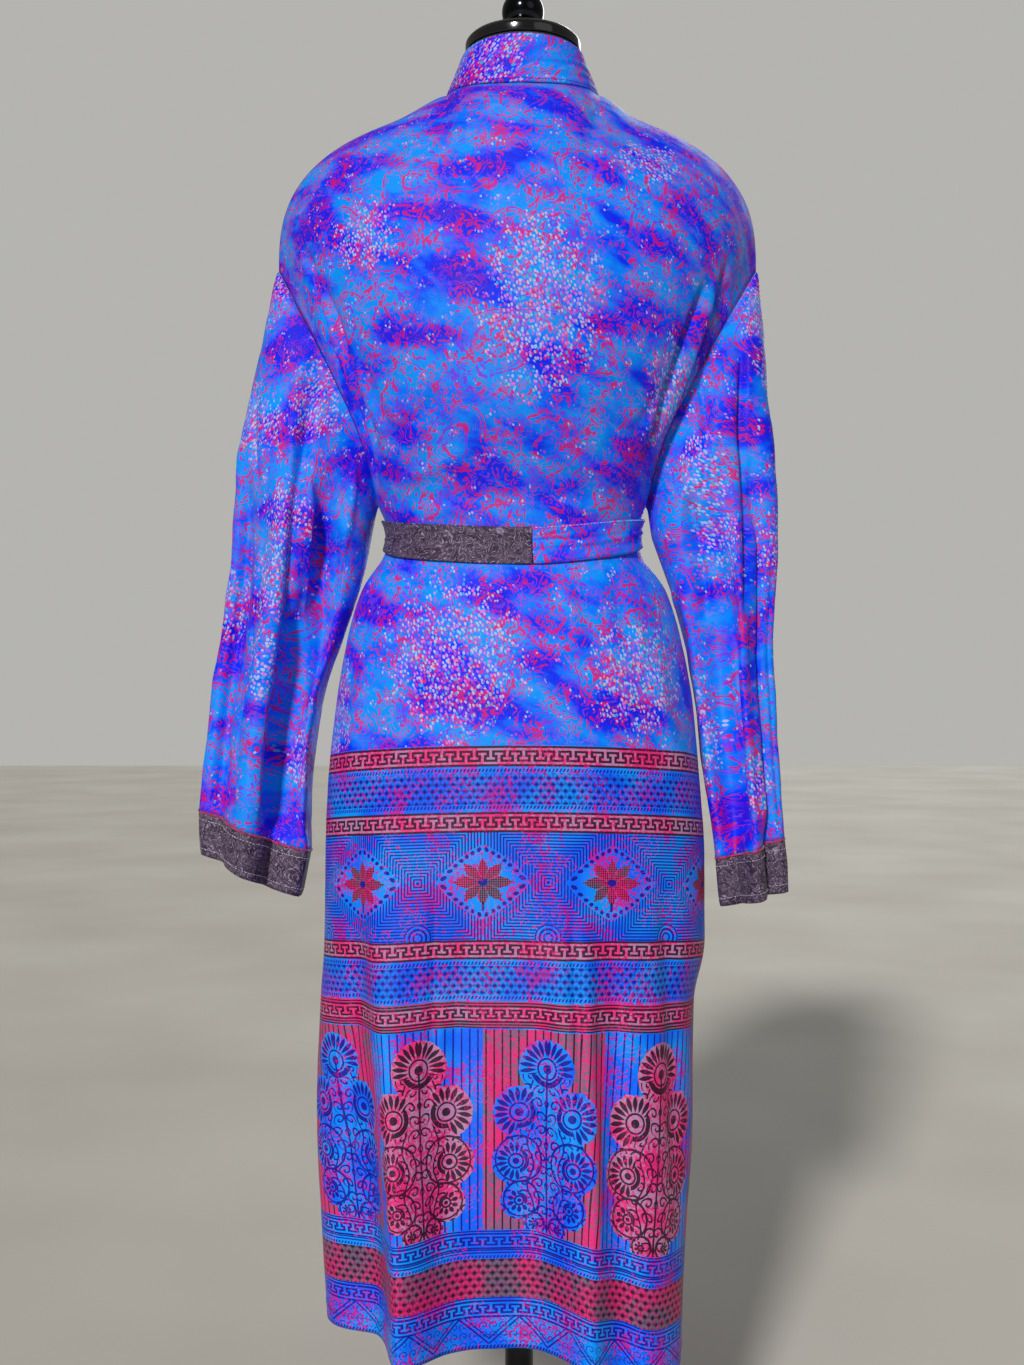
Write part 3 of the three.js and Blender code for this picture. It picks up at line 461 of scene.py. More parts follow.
# ---- meshes -------------------------------------------------------------------------------------
@dataclass
class ClothGrid:
    """One face of a cloth piece: its rows run up and its columns run to the right, seen from outside.

    Attributes:
        points: rows by columns of places, in millimetres.
        cloth: rows by columns of places on the flat cloth, in millimetres.
        thickness: how far the inner face lies behind.
        joined: whether the last column is the first again.
        speckle: how thick the speckles lie, 0 to 1, a value for each point.
    """

    points: Array
    cloth: Array
    thickness: float
    joined: bool = False
    speckle: Optional[Array] = None

    def normals(self) -> Array:
        """Outward directions, one for each point."""
        p = self.points
        if self.joined:
            ring = p[:, :-1]
            right = np.roll(ring, -1, axis=1) - np.roll(ring, 1, axis=1)
            right = np.concatenate((right, right[:, :1]), axis=1)
        else:
            right = np.gradient(p, axis=1)
        return unit(np.cross(right, np.gradient(p, axis=0)))

    def raised(self, height: Array) -> "ClothGrid":
        """The same piece with its face moved outward by a height for each point.

        Args:
            height: rows by columns of heights, in millimetres.

        Returns:
            A new grid.
        """
        points = self.points + self.normals() * height[..., None]
        return ClothGrid(points, self.cloth, self.thickness, self.joined, self.speckle)

    def over(self, lift: float = THREAD_LIFT) -> Array:
        """Places a little outside the face, for thread to lie on."""
        return self.points + self.normals() * lift

    def mesh(self, name: str) -> Piece:
        """Makes the closed shell.

        Args:
            name: the piece's name.

        Returns:
            The new object, with the UV map "cloth" in metres and the attribute "speckle".
        """
        rows, columns = self.points.shape[:2]
        kept = columns - 1 if self.joined else columns
        outer = self.points[:, :kept].reshape(-1, 3)
        inner = (self.points - self.normals() * self.thickness)[:, :kept].reshape(-1, 3)
        j, i = (a.ravel() for a in np.meshgrid(np.arange(rows - 1), np.arange(columns - 1), indexing="ij"))
        zero, one = np.zeros_like(i), np.ones_like(i)
        faces = [self._quads((j, i, zero), (j, i + 1, zero), (j + 1, i + 1, zero), (j + 1, i, zero))]
        faces.append(self._quads((j, i, one), (j + 1, i, one), (j + 1, i + 1, one), (j, i + 1, one)))
        faces += self._rims(rows, columns)
        corners = np.concatenate(faces)
        ids = corners[..., 2] * rows * kept + corners[..., 0] * kept + corners[..., 1] % kept
        made = bpy.data.meshes.new(name)
        made.from_pydata(np.concatenate((outer, inner)) * MM, [], ids.tolist())
        made.polygons.foreach_set("use_smooth", np.ones(len(ids), bool))
        flat = made.uv_layers.new(name="cloth")
        place = self.cloth[corners[..., 0], corners[..., 1]].reshape(-1, 2) * MM
        flat.data.foreach_set("uv", place.astype(np.float32).ravel())
        amount = np.zeros(self.points.shape[:2]) if self.speckle is None else self.speckle
        held = made.attributes.new("speckle", "FLOAT", "POINT")
        held.data.foreach_set("value", np.tile(amount[:, :kept].ravel(), 2).astype(np.float32))
        return placed(name, made)

    @staticmethod
    def _quads(*corners: tuple[Array, Array, Array]) -> Array:
        """Faces from four corners, each given as its rows, columns and layers."""
        return np.stack([np.stack(c, axis=-1) for c in corners], axis=1)

    def _rims(self, rows: int, columns: int) -> list[Array]:
        """The narrow faces round the open edges."""
        i = np.arange(columns - 1)
        foot, head, out, back = i * 0, i * 0 + rows - 1, i * 0, i * 0 + 1
        rims = [
            self._quads((foot, i + 1, out), (foot, i, out), (foot, i, back), (foot, i + 1, back)),
            self._quads((head, i, out), (head, i + 1, out), (head, i + 1, back), (head, i, back)),
        ]
        if not self.joined:
            j = np.arange(rows - 1)
            near, far, out, back = j * 0, j * 0 + columns - 1, j * 0, j * 0 + 1
            k = j + 1
            rims.append(self._quads((j, near, out), (k, near, out), (k, near, back), (j, near, back)))
            rims.append(self._quads((k, far, out), (j, far, out), (j, far, back), (k, far, back)))
        return rims


def placed(name: str, mesh: bpy.types.Mesh) -> Piece:
    """A new object for a mesh whose place is in its vertices.

    Args:
        name: the piece's name.
        mesh: its mesh, in metres.

    Returns:
        The object, linked to the scene.
    """
    mesh.name = name
    mesh.update()
    made = bpy.data.objects.new(name, mesh)
    bpy.context.scene.collection.objects.link(made)
    return made


def dress(piece: Piece, slot: str, *materials: Material) -> None:
    """Gives a piece its materials and the body that it rides on.

    Args:
        piece: the finished object.
        slot: not used.
        materials: its materials, in the order of the faces' indices.
    """
    for material in materials:
        piece.data.materials.append(material)
    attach(piece, BODY)
    LOG.info("%s: %d faces", piece.name, len(piece.data.polygons))


def solid_of_rings(name: str, rings: Array) -> Piece:
    """A closed body from rings of points that run round +Z, lowest first.

    Args:
        name: the piece's name.
        rings: rings by points of places, in millimetres.

    Returns:
        The new object.
    """
    count, around = rings.shape[:2]
    points = np.concatenate((rings.reshape(-1, 3), rings[0].mean(0)[None], rings[-1].mean(0)[None]))
    low, high = count * around, count * around + 1
    faces: list[list[int]] = []
    for j in range(count - 1):
        for i in range(around):
            k = (i + 1) % around
            faces.append([j * around + i, j * around + k, (j + 1) * around + k, (j + 1) * around + i])
    top = (count - 1) * around
    for i in range(around):
        k = (i + 1) % around
        faces += [[low, k, i], [high, top + i, top + k]]
    made = bpy.data.meshes.new(name)
    made.from_pydata(points * MM, [], faces)
    made.polygons.foreach_set("use_smooth", np.ones(len(faces), bool))
    return placed(name, made)


def turned(name: str, outline: Sequence[tuple[float, float]], around: int, x: float = 0) -> Piece:
    """A body turned round an upright axis.

    Args:
        name: the piece's name.
        outline: radius and height of each ring, lowest first.
        around: points in a ring.
        x: where the axis stands.

    Returns:
        The new object.
    """
    angle = np.arange(around) / around * TURN
    rings = np.stack([xyz(x + r * np.cos(angle), r * np.sin(angle), z + 0 * angle) for r, z in outline])
    return solid_of_rings(name, rings)


def rounded(outline: Sequence[tuple[float, float, float]], steps: int = 5) -> list[tuple[float, float]]:
    """An outline with its corners rounded.

    Args:
        outline: radius, height and corner radius of each corner.
        steps: points in each rounded corner.

    Returns:
        Radius and height of each point.
    """
    made: list[tuple[float, float]] = []
    for k, (r, z, soft) in enumerate(outline):
        if soft <= 0 or k in (0, len(outline) - 1):
            made.append((r, z))
            continue
        here = np.array((r, z))
        into = unit(np.array(outline[k - 1][:2]) - here) * soft
        away = unit(np.array(outline[k + 1][:2]) - here) * soft
        for t in np.linspace(0, 1, steps):
            point = here + into * (1 - t) ** 2 + away * t**2
            made.append((float(point[0]), float(point[1])))
    return made


def arc_lengths(points: Array, axis: int) -> Array:
    """Lengths along rows (axis 1) or columns (axis 0) of a grid, from 0 at the first point."""
    steps = np.linalg.norm(np.diff(points, axis=axis), axis=-1)
    start = np.zeros_like(np.take(steps, [0], axis=axis))
    return np.concatenate((start, np.cumsum(steps, axis=axis)), axis=axis)


def unrolled(points: Array, across: float = 0, up: float = 0) -> Array:
    """Places on the flat cloth, by the lengths along rows and columns from its lower left corner."""
    return np.stack((arc_lengths(points, 1) + across, arc_lengths(points, 0) + up), -1)


def creased(points: Array, creases: Sequence[Crease]) -> Array:
    """How far soft creases stand out at each point.

    Args:
        points: places, in millimetres.
        creases: the creases, which are read by X and Z.

    Returns:
        Heights, one for each point.
    """
    height = np.zeros(points.shape[:-1])
    for c in creases:
        way = np.array((c.x1 - c.x0, c.z1 - c.z0), float)
        length = float(np.hypot(*way))
        way /= length
        off = np.stack((points[..., 0] - c.x0, points[..., 2] - c.z0), axis=-1)
        along = off @ way / length
        away = off @ np.array((-way[1], way[0]))
        bend = 0.35 * c.width * np.sin(along * 5 + c.x0)
        fade = smooth(along / 0.25) * smooth((1 - along) / 0.35)
        height += c.out * fade * np.exp(-(((away - bend) / c.width) ** 2))
    return height


def crumple(points: Array, seed: int, size: float, height: float) -> Array:
    """Gentle unevenness of hanging cloth: a sum of slanting waves.

    Args:
        points: places, in millimetres.
        seed: fixes the waves.
        size: the length of the longest wave, in millimetres.
        height: how far it stands out, in millimetres.

    Returns:
        Heights, one for each point.
    """
    random = np.random.default_rng(seed)
    total = np.zeros(points.shape[:-1])
    for k in range(9):
        way = unit(random.normal(size=3) * np.array((1, 1, 0.55)))
        length = size * random.uniform(0.35, 1)
        total += np.sin(points @ way / length * TURN + random.uniform(0, TURN)) * (length / size)
    return total / 3 * height


def clusters_at(points: Array, clusters: Sequence[Cluster]) -> Array:
    """How thick the speckles lie at each point, 0 to 1."""
    amount = np.zeros(points.shape[:-1])
    for c in clusters:
        away = ((points[..., 0] - c.x) / c.half_x) ** 2 + ((points[..., 2] - c.z) / c.half_z) ** 2
        amount = np.maximum(amount, np.clip(1.25 - away, 0, 1))
    return amount


def scattered(points: Array, seed: int, count: int, size: float) -> Array:
    """Speckle patches at random places on a piece.

    Args:
        points: places, in millimetres.
        seed: fixes the patches.
        count: how many patches.
        size: half the width of a patch, in millimetres.

    Returns:
        How thick they lie at each point, 0 to 1.
    """
    random = np.random.default_rng(seed)
    flat = points.reshape(-1, 3)
    amount = np.zeros(points.shape[:-1])
    for centre in flat[random.integers(0, len(flat), count)]:
        reach = size * random.uniform(0.6, 1.2) * np.array((0.8, 1.6, 1.3))
        away = (((points - centre) / reach) ** 2).sum(-1)
        amount = np.maximum(amount, np.clip(1.15 - away, 0, 1))
    return amount


# ---- material trees -----------------------------------------------------------------------------
class Value:
    """A value in a material's tree, so that sums and tests are written as Python expressions."""

    def __init__(self, tree: "MaterialTree", socket: bpy.types.NodeSocket) -> None:
        """Keeps the tree and the socket that gives the value."""
        self.tree = tree
        self.socket = socket

    def _with(self, operation: str, other: "Number") -> "Value":
        """This value and another through a Math node."""
        return self.tree.math(operation, self, other)

    def _after(self, operation: str, other: "Number") -> "Value":
        """Another value and this one through a Math node."""
        return self.tree.math(operation, other, self)

    def __add__(self, other: "Number") -> "Value":
        """The sum."""
        return self._with("ADD", other)

    def __radd__(self, other: "Number") -> "Value":
        """The sum, with the number first."""
        return self._after("ADD", other)

    def __sub__(self, other: "Number") -> "Value":
        """The difference."""
        return self._with("SUBTRACT", other)

    def __rsub__(self, other: "Number") -> "Value":
        """The difference, with the number first."""
        return self._after("SUBTRACT", other)

    def __mul__(self, other: "Number") -> "Value":
        """The product."""
        return self._with("MULTIPLY", other)

    def __rmul__(self, other: "Number") -> "Value":
        """The product, with the number first."""
        return self._after("MULTIPLY", other)

    def __truediv__(self, other: "Number") -> "Value":
        """The quotient."""
        return self._with("DIVIDE", other)

    def __pow__(self, other: "Number") -> "Value":
        """The power."""
        return self._with("POWER", other)

    def __rpow__(self, other: "Number") -> "Value":
        """The power, with the number first."""
        return self._after("POWER", other)

    def __mod__(self, other: "Number") -> "Value":
        """The rest of a division, never negative."""
        return self._with("FLOORED_MODULO", other)

    def __lt__(self, other: "Number") -> "Value":
        """1 where this is less, and 0 elsewhere."""
        return self._with("LESS_THAN", other)

    def __gt__(self, other: "Number") -> "Value":
        """1 where this is more, and 0 elsewhere."""
        return self._with("GREATER_THAN", other)

    def __abs__(self) -> "Value":
        """The value without its sign."""
        return self.tree.math("ABSOLUTE", self)

    def within(self, low: float, high: float) -> "Value":
        """1 between two numbers, and 0 elsewhere."""
        return self.tree.math("COMPARE", self, (low + high) / 2, (high - low) / 2)

    def near(self, middle: "Number", reach: "Number") -> "Value":
        """1 within a reach of a number, and 0 elsewhere."""
        return self.tree.math("COMPARE", self, middle, reach)

    def most(self, other: "Number") -> "Value":
        """The larger of the two, which also joins masks."""
        return self._with("MAXIMUM", other)

    def least(self, other: "Number") -> "Value":
        """The smaller of the two."""
        return self._with("MINIMUM", other)

    def fract(self) -> "Value":
        """The part after the decimal point."""
        return self.tree.math("FRACT", self)

    def floor(self) -> "Value":
        """The whole number below."""
        return self.tree.math("FLOOR", self)

    def ramp(self, low: float, high: float) -> "Value":
        """A rise from 0 at low to 1 at high, held beyond them."""
        made = self.tree.node(
            "ShaderNodeMapRange", {"clamp": True}, {"Value": self, "From Min": low, "From Max": high}
        )
        return Value(self.tree, made.outputs["Result"])


Number = Union[Value, float, int]
Tint = Union[Value, Colour]


class MaterialTree:
    """A new material with its surface shader, and the ways to add nodes to it."""

    def __init__(self, name: str, **constants: float) -> None:
        """Makes the material.

        Args:
            name: the finish's name.
            constants: values of the surface shader that hold all over, by their names with _ for a space.
        """
        self.material = bpy.data.materials.new(name)
        self.material.use_nodes = True
        self.nodes = self.material.node_tree.nodes
        self.links = self.material.node_tree.links
        self.nodes.clear()
        self.shader = self.node("ShaderNodeBsdfPrincipled")
        for key, value in constants.items():
            self.shader.inputs[key.replace("_", " ")].default_value = value
        output = self.node("ShaderNodeOutputMaterial")
        self.links.new(self.shader.outputs["BSDF"], output.inputs["Surface"])

    def node(
        self, kind: str, settings: Optional[dict] = None, inputs: Optional[dict] = None
    ) -> bpy.types.Node:
        """Adds a node.

        Args:
            kind: the node's type.
            settings: its properties, set first; "stops" holds a ramp's places and colours.
            inputs: values or links of its sockets, by name or number.

        Returns:
            The new node.
        """
        made = self.nodes.new(kind)
        for key, value in (settings or {}).items():
            if key != "stops":
                setattr(made, key, value)
                continue
            ramp = made.color_ramp
            for place, colour in value[1:]:
                ramp.elements.new(place).color = (*colour, 1)
            ramp.elements.remove(ramp.elements[-1] if value[-1][0] < 1 else ramp.elements[-2])
            ramp.elements[0].position, ramp.elements[0].color = value[0][0], (*value[0][1], 1)
        for key, value in (inputs or {}).items():
            self.feed(made.inputs[key], value)
        return made

    def feed(self, socket: bpy.types.NodeSocket, value: Union[Value, Colour, float]) -> None:
        """Sets a socket to a number or a colour, or links it to a value."""
        if isinstance(value, Value):
            self.links.new(value.socket, socket)
        elif isinstance(value, tuple) and socket.type == "RGBA":
            socket.default_value = (*value, 1)
        else:
            socket.default_value = value

    def math(self, operation: str, *values: Number) -> Value:
        """A Math node on the values."""
        made = self.node("ShaderNodeMath", {"operation": operation}, dict(enumerate(values)))
        return Value(self, made.outputs[0])

    def mix(self, share: Number, first: Tint, second: Tint) -> Value:
        """A colour a share of the way from the first to the second."""
        made = self.node("ShaderNodeMix", {"data_type": "RGBA"}, {0: share, 6: first, 7: second})
        return Value(self, made.outputs[2])

    def steps(self, value: Value, stops: Sequence[tuple[float, Colour]], held: bool = False) -> Value:
        """A colour for each value, through a ramp.

        Args:
            value: 0 to 1 along the ramp.
            stops: places and colours.
            held: whether each colour holds up to the next place.

        Returns:
            The colour.
        """
        made = self.node("ShaderNodeValToRGB", {"stops": list(stops)}, {"Fac": value})
        made.color_ramp.interpolation = "CONSTANT" if held else "LINEAR"
        return Value(self, made.outputs["Color"])

    def cloth(self) -> tuple[Value, Value]:
        """The place on the flat cloth: across and up, in millimetres."""
        place = self.node("ShaderNodeUVMap", {"uv_map": "cloth"})
        parts = self.node("ShaderNodeSeparateXYZ", inputs={0: Value(self, place.outputs["UV"])})
        return tuple(Value(self, parts.outputs[k]) * (1 / MM) for k in (0, 1))

    def space(self) -> Value:
        """The place in the frame, in metres."""
        return Value(self, self.node("ShaderNodeTexCoord").outputs["Object"])

    def vector(self, x: Number, y: Number, z: Number = 0) -> Value:
        """A place from its coordinates."""
        made = self.node("ShaderNodeCombineXYZ", inputs={0: x, 1: y, 2: z})
        return Value(self, made.outputs[0])

    def shifted(self, place: Value, offset: Value, amount: float) -> Value:
        """A place moved by a colour's channels, each of which stays about the middle."""
        centred = self.node(
            "ShaderNodeVectorMath", {"operation": "SUBTRACT"}, {0: offset, 1: (0.5, 0.5, 0.5)}
        )
        moved = self.node(
            "ShaderNodeVectorMath",
            {"operation": "MULTIPLY_ADD"},
            {0: Value(self, centred.outputs[0]), 1: (amount, amount, 0), 2: place},
        )
        return Value(self, moved.outputs[0])

    def laid(self, place: Value, turn: float, stretch: float) -> Value:
        """A place turned by an angle, so that what it feeds is drawn out along that way."""
        made = self.node(
            "ShaderNodeMapping", {"vector_type": "TEXTURE"}, {0: place, 2: (0, 0, turn), 3: (stretch, 1, 1)}
        )
        return Value(self, made.outputs[0])

    def noise(
        self, place: Value, size: float, detail: float = 0, colour: bool = False, flat: bool = True
    ) -> Value:
        """Cloudy noise.

        Args:
            place: where it is read.
            size: the clouds' size, in the unit of place.
            detail: how many finer layers.
            colour: whether the colour is wanted, and not the value.
            flat: whether only the first two coordinates count.

        Returns:
            The noise, mostly 0.3 to 0.7.
        """
        made = self.node(
            "ShaderNodeTexNoise",
            {"noise_dimensions": "2D" if flat else "3D"},
            {"Vector": place, "Scale": 1 / size, "Detail": detail},
        )
        return Value(self, made.outputs["Color" if colour else "Fac"])

    def cells(self, place: Value, size: float, output: str = "Distance", uneven: float = 1) -> Value:
        """Voronoi cells: the distance to the nearest centre, or its random colour."""
        made = self.node(
            "ShaderNodeTexVoronoi",
            {"voronoi_dimensions": "2D"},
            {"Vector": place, "Scale": 1 / size, "Randomness": uneven},
        )
        return Value(self, made.outputs[output])

    def channels(self, colour: Value) -> tuple[Value, Value, Value]:
        """The three channels of a colour."""
        made = self.node("ShaderNodeSeparateColor", inputs={0: colour})
        return tuple(Value(self, made.outputs[k]) for k in range(3))

    def bump(self, height: Value, distance: float, strength: float = 1) -> None:
        """Feeds the surface's Normal from a height.

        Args:
            height: 0 to 1.
            distance: what 1 stands for, in metres.
            strength: the bump's share.
        """
        made = self.node(
            "ShaderNodeBump", inputs={"Height": height, "Distance": distance, "Strength": strength}
        )
        self.feed(self.shader.inputs["Normal"], Value(self, made.outputs["Normal"]))

    def finish(self, **inputs: Union[Value, Colour, float]) -> Material:
        """Feeds the shader's sockets, named with _ for a space, and gives the material."""
        for key, value in inputs.items():
            self.feed(self.shader.inputs[key.replace("_", " ")], value)
        return self.material


# ---- finishes -----------------------------------------------------------------------------------
class Motif(Enum):
    """What a strip of the border shows."""

    KEY = "key"
    DASH = "dash"
    LATTICE = "lattice"
    MEDALLION = "medallion"
    TREE = "tree"
    PEBBLE = "pebble"
    ZIGZAG = "zigzag"
    LINES = "lines"


class Strip(NamedTuple):
    """A strip of the border: its foot and top over the hem, its motif, and whether its ground is grey."""

    foot: float
    top: float
    motif: Motif
    grey: bool


BORDER = table(
    Strip,
    (0, 5, Motif.DASH, False), (5, 30, Motif.ZIGZAG, False), (30, 46, Motif.KEY, False),
    (46, 49, Motif.LINES, False), (49, 85, Motif.PEBBLE, True), (85, 89, Motif.DASH, False),
    (89, 94, Motif.LINES, False), (94, 109, Motif.KEY, False), (109, 112, Motif.LINES, False),
    (112, 299, Motif.TREE, False), (300, 305, Motif.LINES, True), (305, 321, Motif.KEY, True),
    (321, 325, Motif.LINES, True), (326, 331, Motif.DASH, False), (331, 358, Motif.LATTICE, False),
    (358, 363, Motif.DASH, False), (364, 382, Motif.KEY, True), (382, 482, Motif.MEDALLION, False),
    (482, 501, Motif.KEY, True), (503, 508, Motif.DASH, False), (508, 537, Motif.LATTICE, False),
    (537, 542, Motif.DASH, False), (543, 562, Motif.KEY, True),
)
BORDER_TOP = BORDER[-1].top
KEY_CHART = (
    "######",
    "......",
    "####.#",
    "...#.#",
    "#.##.#",
    "#.#...",
    "#.####",
    "......",
    "######",
)


class Flower(NamedTuple):
    """A flower of the trees: its place, reach and petals, the way it faces and its scroll's reach."""

    x: float
    y: float
    reach: float
    petals: int
    face_x: float
    face_y: float
    scroll: float


FLOWERS = table(
    Flower,
    (0, 264, 26, 23, 0, 1, 0), (27, 222, 23, 19, 0.85, 0.5, 0), (30, 176, 18, 17, 0.95, 0.1, 21),
    (27, 139, 11, 10, 0.8, -0.4, 16), (13, 118, 6, 8, 1, 0, 9),
)


@dataclass(frozen=True)
class PrintedSilk:
    """The robe's printed silk: a blue mottle with magenta line work, speckles and a wide border."""

    cyan: Colour = ink(0, 146, 255)
    azure: Colour = ink(0, 100, 255)
    blue: Colour = ink(0, 48, 246)
    violet: Colour = ink(22, 26, 232)
    purple: Colour = ink(60, 24, 214)
    magenta: Colour = ink(206, 4, 116)
    mauve: Colour = ink(112, 54, 232)
    grey: Colour = ink(122, 96, 130)
    lilac: Colour = ink(186, 134, 180)
    pink: Colour = ink(230, 30, 122)
    dark_blue: Colour = ink(10, 0, 146)
    black: Colour = ink(24, 8, 32)
    roughness: float = 0.44
    sheen: float = 0.02
    key_pitch: float = 15.2
    pitch: float = 121
    first_tree: float = -26.5

    def material(self, name: str, border: bool) -> Material:
        """Makes the cloth's material.

        Args:
            name: the material's name.
            border: whether the wide border is drawn, or the mottle alone.

        Returns:
            The material.
        """
        t = MaterialTree(
            name, Sheen_Weight=self.sheen, Sheen_Roughness=0.4, Specular_IOR_Level=0.17, IOR=1.5
        )
        u, v = t.cloth()
        place = t.vector(u, v)
        base = self._border(t, u, v, place) if border else self._mottle(t, place)
        weave = t.noise(t.vector(u, v * 3), 1.3) * 0.5 + t.noise(place, 26, 1)
        t.bump(weave, 0.0012, 0.55)
        rough = t.noise(place, 30) * 0.24 + (self.roughness - 0.12)
        return t.finish(Base_Color=base, Roughness=rough)

    def _mottle(self, t: MaterialTree, place: Value) -> Value:
        """The ground of the upper cloth with its line work and speckles.

        Args:
            t: the material's tree.
            place: the place on the cloth, in millimetres.

        Returns:
            The colour.
        """
        blues = (self.purple, self.violet, self.blue, self.azure, self.cyan)
        stops = list(zip((0.26, 0.34, 0.41, 0.47, 0.6), blues))
        ground = t.steps(t.noise(t.laid(place, 0.4, 2.1), 40, 5), stops)
        warped = t.shifted(place, t.noise(place, 17, 1, colour=True), 26)
        dense = t.noise(place, 34, 1)
        lines = abs((t.noise(warped, 15, 1) * 10).fract() - 0.5) < (dense - 0.34)
        rings = abs((t.cells(warped, 16) * 3.4).fract() - 0.5) < (dense * 0.5 - 0.06)
        turn = t.noise(place, 52) > 0.5
        art = lines * (1 - turn) + rings * turn
        wide = t.cells(t.shifted(place, t.noise(place, 30, colour=True), 16), 84, uneven=0.7)
        broken = t.noise(place, 5.2, 1) > 0.42
        for reach, half in ((0.36, 0.013), (0.31, 0.007), (0.15, 0.02)):
            art = art.most(wide.near(reach, half))
        art = art * broken
        tone = t.noise(place, 20, 2).ramp(0.4, 0.5)
        drawn = t.mix(art * 0.88, ground, t.mix(tone, self.mauve, self.magenta))
        return self._speckled(t, place, drawn)

    def _speckled(self, t: MaterialTree, place: Value, under: Value) -> Value:
        """Rice-grain speckles over a colour, where the cloth's attribute asks for them.

        Args:
            t: the material's tree.
            place: the place on the cloth, in millimetres.
            under: the colour below.

        Returns:
            The colour with its speckles.
        """
        held = t.node("ShaderNodeAttribute", {"attribute_name": "speckle"})
        amount = Value(t, held.outputs["Fac"])
        grains = t.laid(place, 1.2, 1.5)
        red, green, _blue = t.channels(t.cells(grains, 2.8, "Color"))
        near = t.cells(grains, 2.8) < (green * 0.12 + 0.34)
        shown = (amount * 1.25 + (t.noise(place, 14) - 0.5) * 1.9) > (green * 0.95 + 0.16)
        grain = t.steps(
            red,
            [
                (0, ink(196, 206, 240)),
                (0.24, ink(236, 130, 206)),
                (0.42, ink(70, 180, 220)),
                (0.56, ink(188, 196, 206)),
                (0.68, ink(174, 96, 230)),
                (0.84, ink(234, 26, 128)),
            ],
            held=True,
        )
        return t.mix(near * shown * 0.72, under, grain)

    def _chart(self, t: MaterialTree, rows: Sequence[str], across: Value, up: Value) -> Value:
        """A small repeat drawn on squares.

        Args:
            t: the material's tree.
            rows: the chart, top row first, with # for ink.
            across: 0 to 1 across the repeat.
            up: 0 to 1 up the repeat.

        Returns:
            1 where there is ink.
        """
        columns = len(rows[0])
        codes = [sum(2**k for k, mark in enumerate(row) if mark == "#") for row in reversed(rows)]
        stops = [(k / len(rows), (code / 2**columns,) * 3) for k, code in enumerate(codes)]
        red, _green, _blue = t.channels(t.steps(up, stops, held=True))
        code = red * 2**columns + 0.5
        return (code / 2 ** (across * columns).floor()).floor() % 2

    def _border(self, t: MaterialTree, u: Value, v: Value, place: Value) -> Value:
        """The border: strips of key, lattice, medallions, trees and zigzags.

        Args:
            t: the material's tree.
            u: across the cloth from the middle of the back, in millimetres.
            v: up the cloth from the hem, in millimetres.
            place: both as a vector.

        Returns:
            The colour.
        """
        zones: dict[Motif, Value] = {}
        for motif in Motif:
            marks = [v.within(s.foot, s.top) for s in BORDER if s.motif is motif]
            zones[motif] = sum(marks[1:], start=marks[0])
        grey = sum((v.within(s.foot, s.top) for s in BORDER[1:] if s.grey), start=v.within(-9, -8))
        up = sum(
            (
                ((v - s.foot) / (s.top - s.foot)) * v.within(s.foot, s.top)
                for s in BORDER
                if s.motif in (Motif.KEY, Motif.DASH)
            ),
            start=v * 0,
        )
        key = self._chart(t, KEY_CHART, (u / self.key_pitch).fract(), up)
        dash = ((u / 3.4 + up * 0.7).fract() < 0.5) * up.within(0.2, 0.8)
        lattice = self._diamonds(u / 7.7, v / 11.7)
        pebble = self._diamonds(u / 8.4, v / 12)
        rules = (v / 2.5).fract() < 0.5
        swing = abs((u / 57).fract() - 0.5) * 50
        rise = v - 5
        zigzag = (rise - swing).near(0, 1.1).most((rise - swing - 5).near(0, 0.8))
        zigzag = zigzag.most(self._coils(t, u / 9.5, v / 9, 0.2) * (abs(rise - swing) > 2))
        medallion, leaf = self._medallions(t, u, v)
        tree, shape, odd = self._trees(t, u, v)
        drawn = (
            zones[Motif.KEY] * key
            + zones[Motif.DASH] * dash
            + zones[Motif.LATTICE] * lattice
            + zones[Motif.PEBBLE] * pebble
            + zones[Motif.ZIGZAG] * zigzag
            + zones[Motif.MEDALLION] * medallion
            + zones[Motif.TREE] * tree
            + zones[Motif.LINES] * rules
        ).least(1)
        shade = grey + zones[Motif.MEDALLION] * leaf + zones[Motif.TREE] * abs(odd - shape)
        light = t.mix(t.noise(place, 60, 1).ramp(0.4, 0.6), self.azure, self.cyan)
        patch = t.noise(place, 3.6, 1.5) * 0.8 + t.noise(place, 34, 1) * 0.75
        tinted = t.mix((patch > 0.84) * 0.6, light, self.mauve)
        blue_ground = t.mix((patch > 0.9) * 0.75, tinted, self.magenta)
        bare = t.mix((zones[Motif.KEY] + zones[Motif.TREE] * shape).least(1) * 0.85, self.grey, self.lilac)
        grey_ground = t.mix((patch > 0.82) * 0.85, t.mix((patch > 0.7) * 0.45, bare, self.pink), self.pink)
        ground = t.mix(shade, blue_ground, grey_ground)
        line = t.mix(shade, self.dark_blue, self.black)
        printed = t.mix(drawn * 0.94, ground, line)
        stray = (abs((t.noise(place, 13, 2) * 6).fract() - 0.5) < 0.07) * (t.noise(place, 44) > 0.5)
        return t.mix(stray * 0.8, printed, self.magenta)

    @staticmethod
    def _diamonds(across: Value, up: Value) -> Value:
        """Staggered solid diamonds with a short upright stroke under each, on a grid of 1 by 1."""
        x, y = abs(across.fract() - 0.5), up.fract() - 0.5
        high = abs(y)
        slope = x + high * 1.8
        solid = (slope < 0.37).most(slope > 1.03)
        fine = slope.near(0.52, 0.035).most(slope.near(0.88, 0.035))
        return solid.most(fine).most((x < 0.05) * (y < -0.27)).most((x > 0.45) * y.within(0.03, 0.23))

